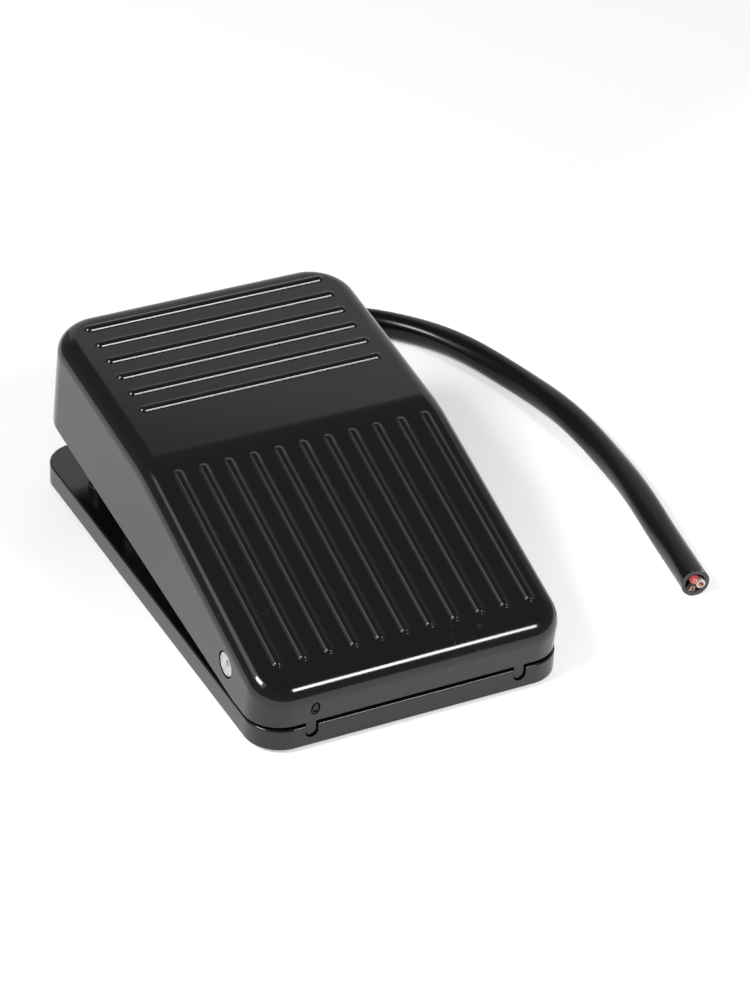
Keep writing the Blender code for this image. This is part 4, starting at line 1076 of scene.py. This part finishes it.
def tread_ribs():
    """Beads along the front tread and across the rear tread."""
    bm = bmesh.new()
    sloping = Vector((0.0, -math.sin(FRONT_SLOPE), math.cos(FRONT_SLOPE)))
    for index in range(LONG_RIBS):
        x = RIB_CENTRE_X + (index - (LONG_RIBS - 1) / 2) * LONG_RIB_SPACING
        start, end = (
            Vector((x, y, PEDAL_TOP - (RIDGE_Y - y) * math.tan(FRONT_SLOPE)))
            for y in (LONG_RIB_FRONT, LONG_RIB_BACK)
        )
        add_rib(bm, start, end, sloping)
    for index in range(CROSS_RIBS):
        y = CROSS_RIB_LAST - index * CROSS_RIB_SPACING
        start = Vector((RIB_CENTRE_X - CROSS_RIB_HALF_LENGTH, y, PEDAL_TOP))
        add_rib(bm, start, start + Vector((2 * CROSS_RIB_HALF_LENGTH, 0.0, 0.0)), Vector((0.0, 0.0, 1.0)))
    bmesh.ops.recalc_face_normals(bm, faces=bm.faces)
    return bm


def pedal_underside():
    """Pin bosses, spring cups, the pad over the switch and the two front tabs."""
    bm = bmesh.new()
    inside = HALF_WIDTH - PEDAL_WALL
    for side in (-1, 1):
        outer = side * (inside + PEDAL_WALL / 2)
        inner = side * (LUG_OUTER_X + GAP)
        add_rod(bm, (outer, 0.0, 0.0), (inner, 0.0, 0.0), PEDAL_BOSS_RADIUS)
        top = PEDAL_TOP - PEDAL_WALL / 2
        bottom = PEDAL_TOP - PEDAL_WALL - SPRING_CUP_DEPTH
        radius = SPRING_CUP_RADIUS + SPRING_CUP_WALL
        add_oval_bar(bm, side * SPRING_X, SPRING_CUP_FRONT, SPRING_CUP_Y, bottom, top, radius)
    pad = Vector((ACTUATOR_HALF_WIDTH, 0.0, 0.0))
    centre = Vector((0.0, ACTUATOR_Y, ACTUATOR_Z))
    add_rod(bm, centre - pad, centre + pad, ACTUATOR_RADIUS, 32)
    tabs = bmesh.new()
    for x in (-TAB_X, TAB_X):
        low = (x - TAB_HALF_WIDTH, TAB_FRONT, TAB_BOTTOM)
        high = (x + TAB_HALF_WIDTH, TAB_BACK, DECK + FRONT_GAP + ROOT)
        add_arched_block(tabs, low, high, 1, at_top=False)
    for vertex in tabs.verts:
        vertex.co = in_pedal_axes(vertex.co)
    add_mesh(bm, tabs)
    return bm


def pedal_openings():
    """Pin holes, spring cup bores and the notch in the back wall that clears the cable."""
    bm = bmesh.new()
    add_rod(bm, (-HALF_WIDTH - ROOT, 0.0, 0.0), (HALF_WIDTH + ROOT, 0.0, 0.0), PEDAL_HOLE_RADIUS, 64)
    for x in (-SPRING_X, SPRING_X):
        low = SPRING_SEAT - SPRING_CUP_DEPTH - ROOT
        add_oval_bar(bm, x, SPRING_CUP_FRONT, SPRING_CUP_Y, low, SPRING_SEAT, SPRING_CUP_RADIUS)
    low = (-SKIRT_NOTCH_RADIUS, PEDAL_BACK - PEDAL_WALL - ROOT, PEDAL_BOTTOM - ROOT)
    high = (SKIRT_NOTCH_RADIUS, PEDAL_BACK + ROOT, GLAND_Z - PIVOT.z + SKIRT_NOTCH_RADIUS)
    add_arched_block(bm, low, high, 1)
    return bm


def gate_mark(depth, size_mm):
    """An oval body whose middle lies at a depth behind the pedal's front face."""
    bm = bmesh.new()
    centre = Vector((GATE_X, PEDAL_FRONT + depth, GATE_Z))
    place = Matrix.Translation(centre) @ Matrix.Diagonal((*(Vector(size_mm) * MM), 1.0))
    bmesh.ops.create_uvsphere(bm, u_segments=32, v_segments=16, radius=1.0, matrix=place)
    return bm


def make_pedal():
    pedal = new_piece("pedal_shell", pedal_skin())
    shell = pedal.modifiers.new("wall", "SOLIDIFY")
    shell.thickness = PEDAL_WALL
    shell.offset = -1.0
    shell.use_even_offset = True
    apply_modifiers(pedal)
    round_skirt_edge(pedal)
    combine(pedal, tread_ribs(), "UNION")
    combine(pedal, pedal_underside(), "UNION")
    combine(pedal, pedal_openings(), "DIFFERENCE")
    combine(pedal, gate_mark(0.0, GATE_RECESS_MM), "DIFFERENCE")
    combine(pedal, gate_mark(GATE_NUB_DEPTH, GATE_NUB_MM), "UNION")
    pedal.data.transform(Matrix.Translation(PIVOT) @ Matrix.Rotation(REST_ANGLE, 4, "X"))
    shade(pedal)
    finish_piece(pedal, PEDAL_PLASTIC, "black_plastic", "pedal", "pedal_cover")


# ---- springs ----


def spring_point(x, turn):
    """A point of the coil's centreline. The top coil lies along the tilted roof of the pedal."""
    angle = 2 * math.pi * turn
    y = SPRING_Y + SPRING_COIL_RADIUS * math.sin(angle)
    seat = DECK + GAP + SPRING_WIRE_RADIUS
    roof_z = PIVOT.z + SPRING_SEAT / math.cos(REST_ANGLE) + (y - PIVOT.y) * math.tan(REST_ANGLE)
    height = roof_z - (GAP + SPRING_WIRE_RADIUS) / math.cos(REST_ANGLE) - seat
    from_end = min(turn, SPRING_TURNS - turn)
    if from_end < 1:
        rise = from_end * SPRING_END_PITCH
        rise = rise if turn < 1 else height - rise
    else:
        share = (turn - 1) / (SPRING_TURNS - 2)
        rise = SPRING_END_PITCH + share * (height - 2 * SPRING_END_PITCH)
    return Vector((x + SPRING_COIL_RADIUS * math.cos(angle), y, seat + rise))


def make_springs():
    count = round(SPRING_TURNS * SPRING_POINTS_PER_TURN)
    for side, x in (("left", -SPRING_X), ("right", SPRING_X)):
        points = [spring_point(x, SPRING_TURNS * index / count) for index in range(count + 1)]
        bm = bmesh.new()
        add_tube(bm, points, lambda _index, _angle: SPRING_WIRE_RADIUS, 14)
        spring = new_piece(f"spring_coil_{side}", bm)
        shade(spring, 50.0)
        finish_piece(spring, SPRING_STEEL, "spring_steel", "base", f"return_spring_{side}")
        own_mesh(spring)


# ---- what stays as the frame has it ----


def dress_frame_nodes():
    """Gives the nodes that are shown as they are their finish, and breaks their sharp edges."""
    finishes = {
        "switch_case": (PHENOLIC, 0.25), "switch_cover": (PHENOLIC, 0.25),
        "switch_lever": (SPRING_STEEL, 0.08), "switch_plunger": (PLUNGER_PLASTIC, 0.2),
        "snap_blade": (COPPER, 0.06),
        "terminal_common": (BRASS, 0.1), "terminal_normally_open": (BRASS, 0.1),
        "terminal_normally_closed": (BRASS, 0.1),
    }
    for node, (material, edge_mm) in finishes.items():
        part = frame["nodes"][node]
        part.data.materials.clear()
        part.data.materials.append(material)
        edge = part.modifiers.new("edges", "BEVEL")
        edge.width = edge_mm * MM
        edge.segments = 2
        edge.limit_method = "ANGLE"
        edge.angle_limit = math.radians(50)


# ---- stage ----

LIGHT_DISTANCE = 1.1
LIGHTS = (  # name, azimuth, elevation, width and height in degrees, radiance
    ("front_box", 152.0, 38.5, 11.0, 9.0, 28.0),
    ("left_box", -94.0, 46.0, 20.0, 14.0, 25.0),
    ("left_halo", -92.0, 46.0, 40.0, 26.0, 1.2),
    ("left_strip", -66.0, 45.5, 16.0, 12.0, 0.9),
    ("rear_panel", 30.0, 23.0, 60.0, 46.0, 0.45),
    ("rear_haze", 30.0, 24.0, 84.0, 52.0, 0.12),
)
FLOOR_SIZE = 3.0
GLOW_REAR, GLOW_FRONT = 0.2, 0.55  # the floor's own light, behind the object and in front of it
GLOW_START, GLOW_END = -0.05, 0.065  # how far forward it begins and stops rising


def area_light(name, azimuth, elevation, width, height, radiance):
    """A soft box around the object, its place and size given in degrees as the object sees them.

    The azimuth is measured from behind the object, positive to the right.
    """
    across, up = math.radians(azimuth), math.radians(elevation)
    direction = Vector((math.sin(across) * math.cos(up), math.cos(across) * math.cos(up), math.sin(up)))
    data = bpy.data.lights.new(name, "AREA")
    data.shape = "RECTANGLE"
    data.size = 2 * LIGHT_DISTANCE * math.tan(math.radians(width) / 2)
    data.size_y = 2 * LIGHT_DISTANCE * math.tan(math.radians(height) / 2)
    data.energy = radiance * math.pi * data.size * data.size_y
    light = bpy.data.objects.new(name, data)
    turn = direction.to_track_quat("Z", "Y").to_matrix().to_4x4()
    light.matrix_world = Matrix.Translation(direction * LIGHT_DISTANCE) @ turn
    light.visible_camera = False
    bpy.context.scene.collection.objects.link(light)


def make_world():
    """A dim room that is a little brighter near the floor."""
    world = bpy.data.worlds.new("studio")
    bpy.context.scene.world = world
    world.use_nodes = True
    tree = world.node_tree
    background = tree.nodes["Background"]
    place = tree.nodes.new("ShaderNodeTexCoord")
    split = tree.nodes.new("ShaderNodeSeparateXYZ")
    ramp = tree.nodes.new("ShaderNodeValToRGB")
    tree.links.new(place.outputs["Generated"], split.inputs["Vector"])
    tree.links.new(split.outputs["Z"], ramp.inputs["Fac"])
    tree.links.new(ramp.outputs["Color"], background.inputs["Color"])
    stops = ramp.color_ramp.elements
    stops[0].position, stops[0].color = 0.0, (0.3, 0.3, 0.3, 1.0)
    stops[1].position, stops[1].color = 0.75, (0.2, 0.2, 0.2, 1.0)
    background.inputs["Strength"].default_value = 1.0


def make_floor():
    """White floor with a painted glow, dim behind and brighter in front, that lifts shadows and sets how
    bright it looks in reflections.
    """
    bm = bmesh.new()
    bmesh.ops.create_grid(bm, x_segments=1, y_segments=1, size=FLOOR_SIZE)
    floor = new_piece("floor", bm)
    nodes = Nodes("floor_paper")
    nodes.shader.inputs["Base Color"].default_value = (0.9, 0.9, 0.9, 1.0)
    nodes.shader.inputs["Roughness"].default_value = 0.9
    nodes.shader.inputs["Specular IOR Level"].default_value = 0.1
    nodes.shader.inputs["Emission Color"].default_value = (1.0, 1.0, 1.0, 1.0)
    split = nodes.add("ShaderNodeSeparateXYZ")
    nodes.link(nodes.place, split.inputs["Vector"])
    # painted glow: the floor gives off light of its own, more towards the front, though it is no lamp
    forward = nodes.math("SUBTRACT", nodes.math("MULTIPLY", split.outputs["X"], 0.5), split.outputs["Y"])
    glow = nodes.between(forward, GLOW_START, GLOW_END, GLOW_REAR, GLOW_FRONT)
    nodes.link(glow, nodes.shader.inputs["Emission Strength"])
    floor.data.materials.append(nodes.material)


def make_stage():
    make_world()
    make_floor()
    for light in LIGHTS:
        area_light(*light)
    bpy.context.scene.view_settings.view_transform = "Standard"


# ---- build ----

make_camera()

PEDAL_PLASTIC = black_plastic("pedal_plastic", 0.11)
BASE_PLASTIC = black_plastic("base_plastic", 0.13)
CABLE_SKIN = black_plastic("cable_skin", 0.2, 0.0025, 1.34)
RELIEF_RUBBER = soft_plastic("relief_rubber", (0.012, 0.012, 0.012), 0.5)
RUBBER = soft_plastic("foot_rubber", (0.02, 0.02, 0.02), 0.75, depth=0.03 * MM)
PHENOLIC = soft_plastic("phenolic", (0.03, 0.027, 0.025), 0.5)
PLUNGER_PLASTIC = soft_plastic("plunger_plastic", (0.5, 0.03, 0.02), 0.35)
CORE_SKINS = {
    "red": soft_plastic("red_insulation", (0.55, 0.045, 0.05), 0.4),
    "white": soft_plastic("white_insulation", (0.78, 0.74, 0.74), 0.4, 0.1),
    "black": soft_plastic("black_insulation", (0.03, 0.03, 0.032), 0.4),
}
PIN_STEEL = metal("pin_steel", (0.62, 0.62, 0.63), 0.22, stains=900.0)
SPRING_STEEL = metal("spring_steel", (0.6, 0.6, 0.6), 0.28)
SCREW_STEEL = metal("zinc_steel", (0.66, 0.66, 0.64), 0.34)
BRASS = metal("brass", (0.75, 0.56, 0.27), 0.3)
COPPER = metal("copper", (0.86, 0.5, 0.36), 0.28)

cable, cable_path, cable_end, cable_direction = make_cable()
core_pieces = make_core_ends(cable_end, cable_direction)
relief = make_strain_relief()
make_inner_wires()
make_base()
make_bottom_plate()
make_feet()
make_screws()
make_pin()
make_clamp()
make_pedal()
make_springs()
dress_frame_nodes()
make_stage()
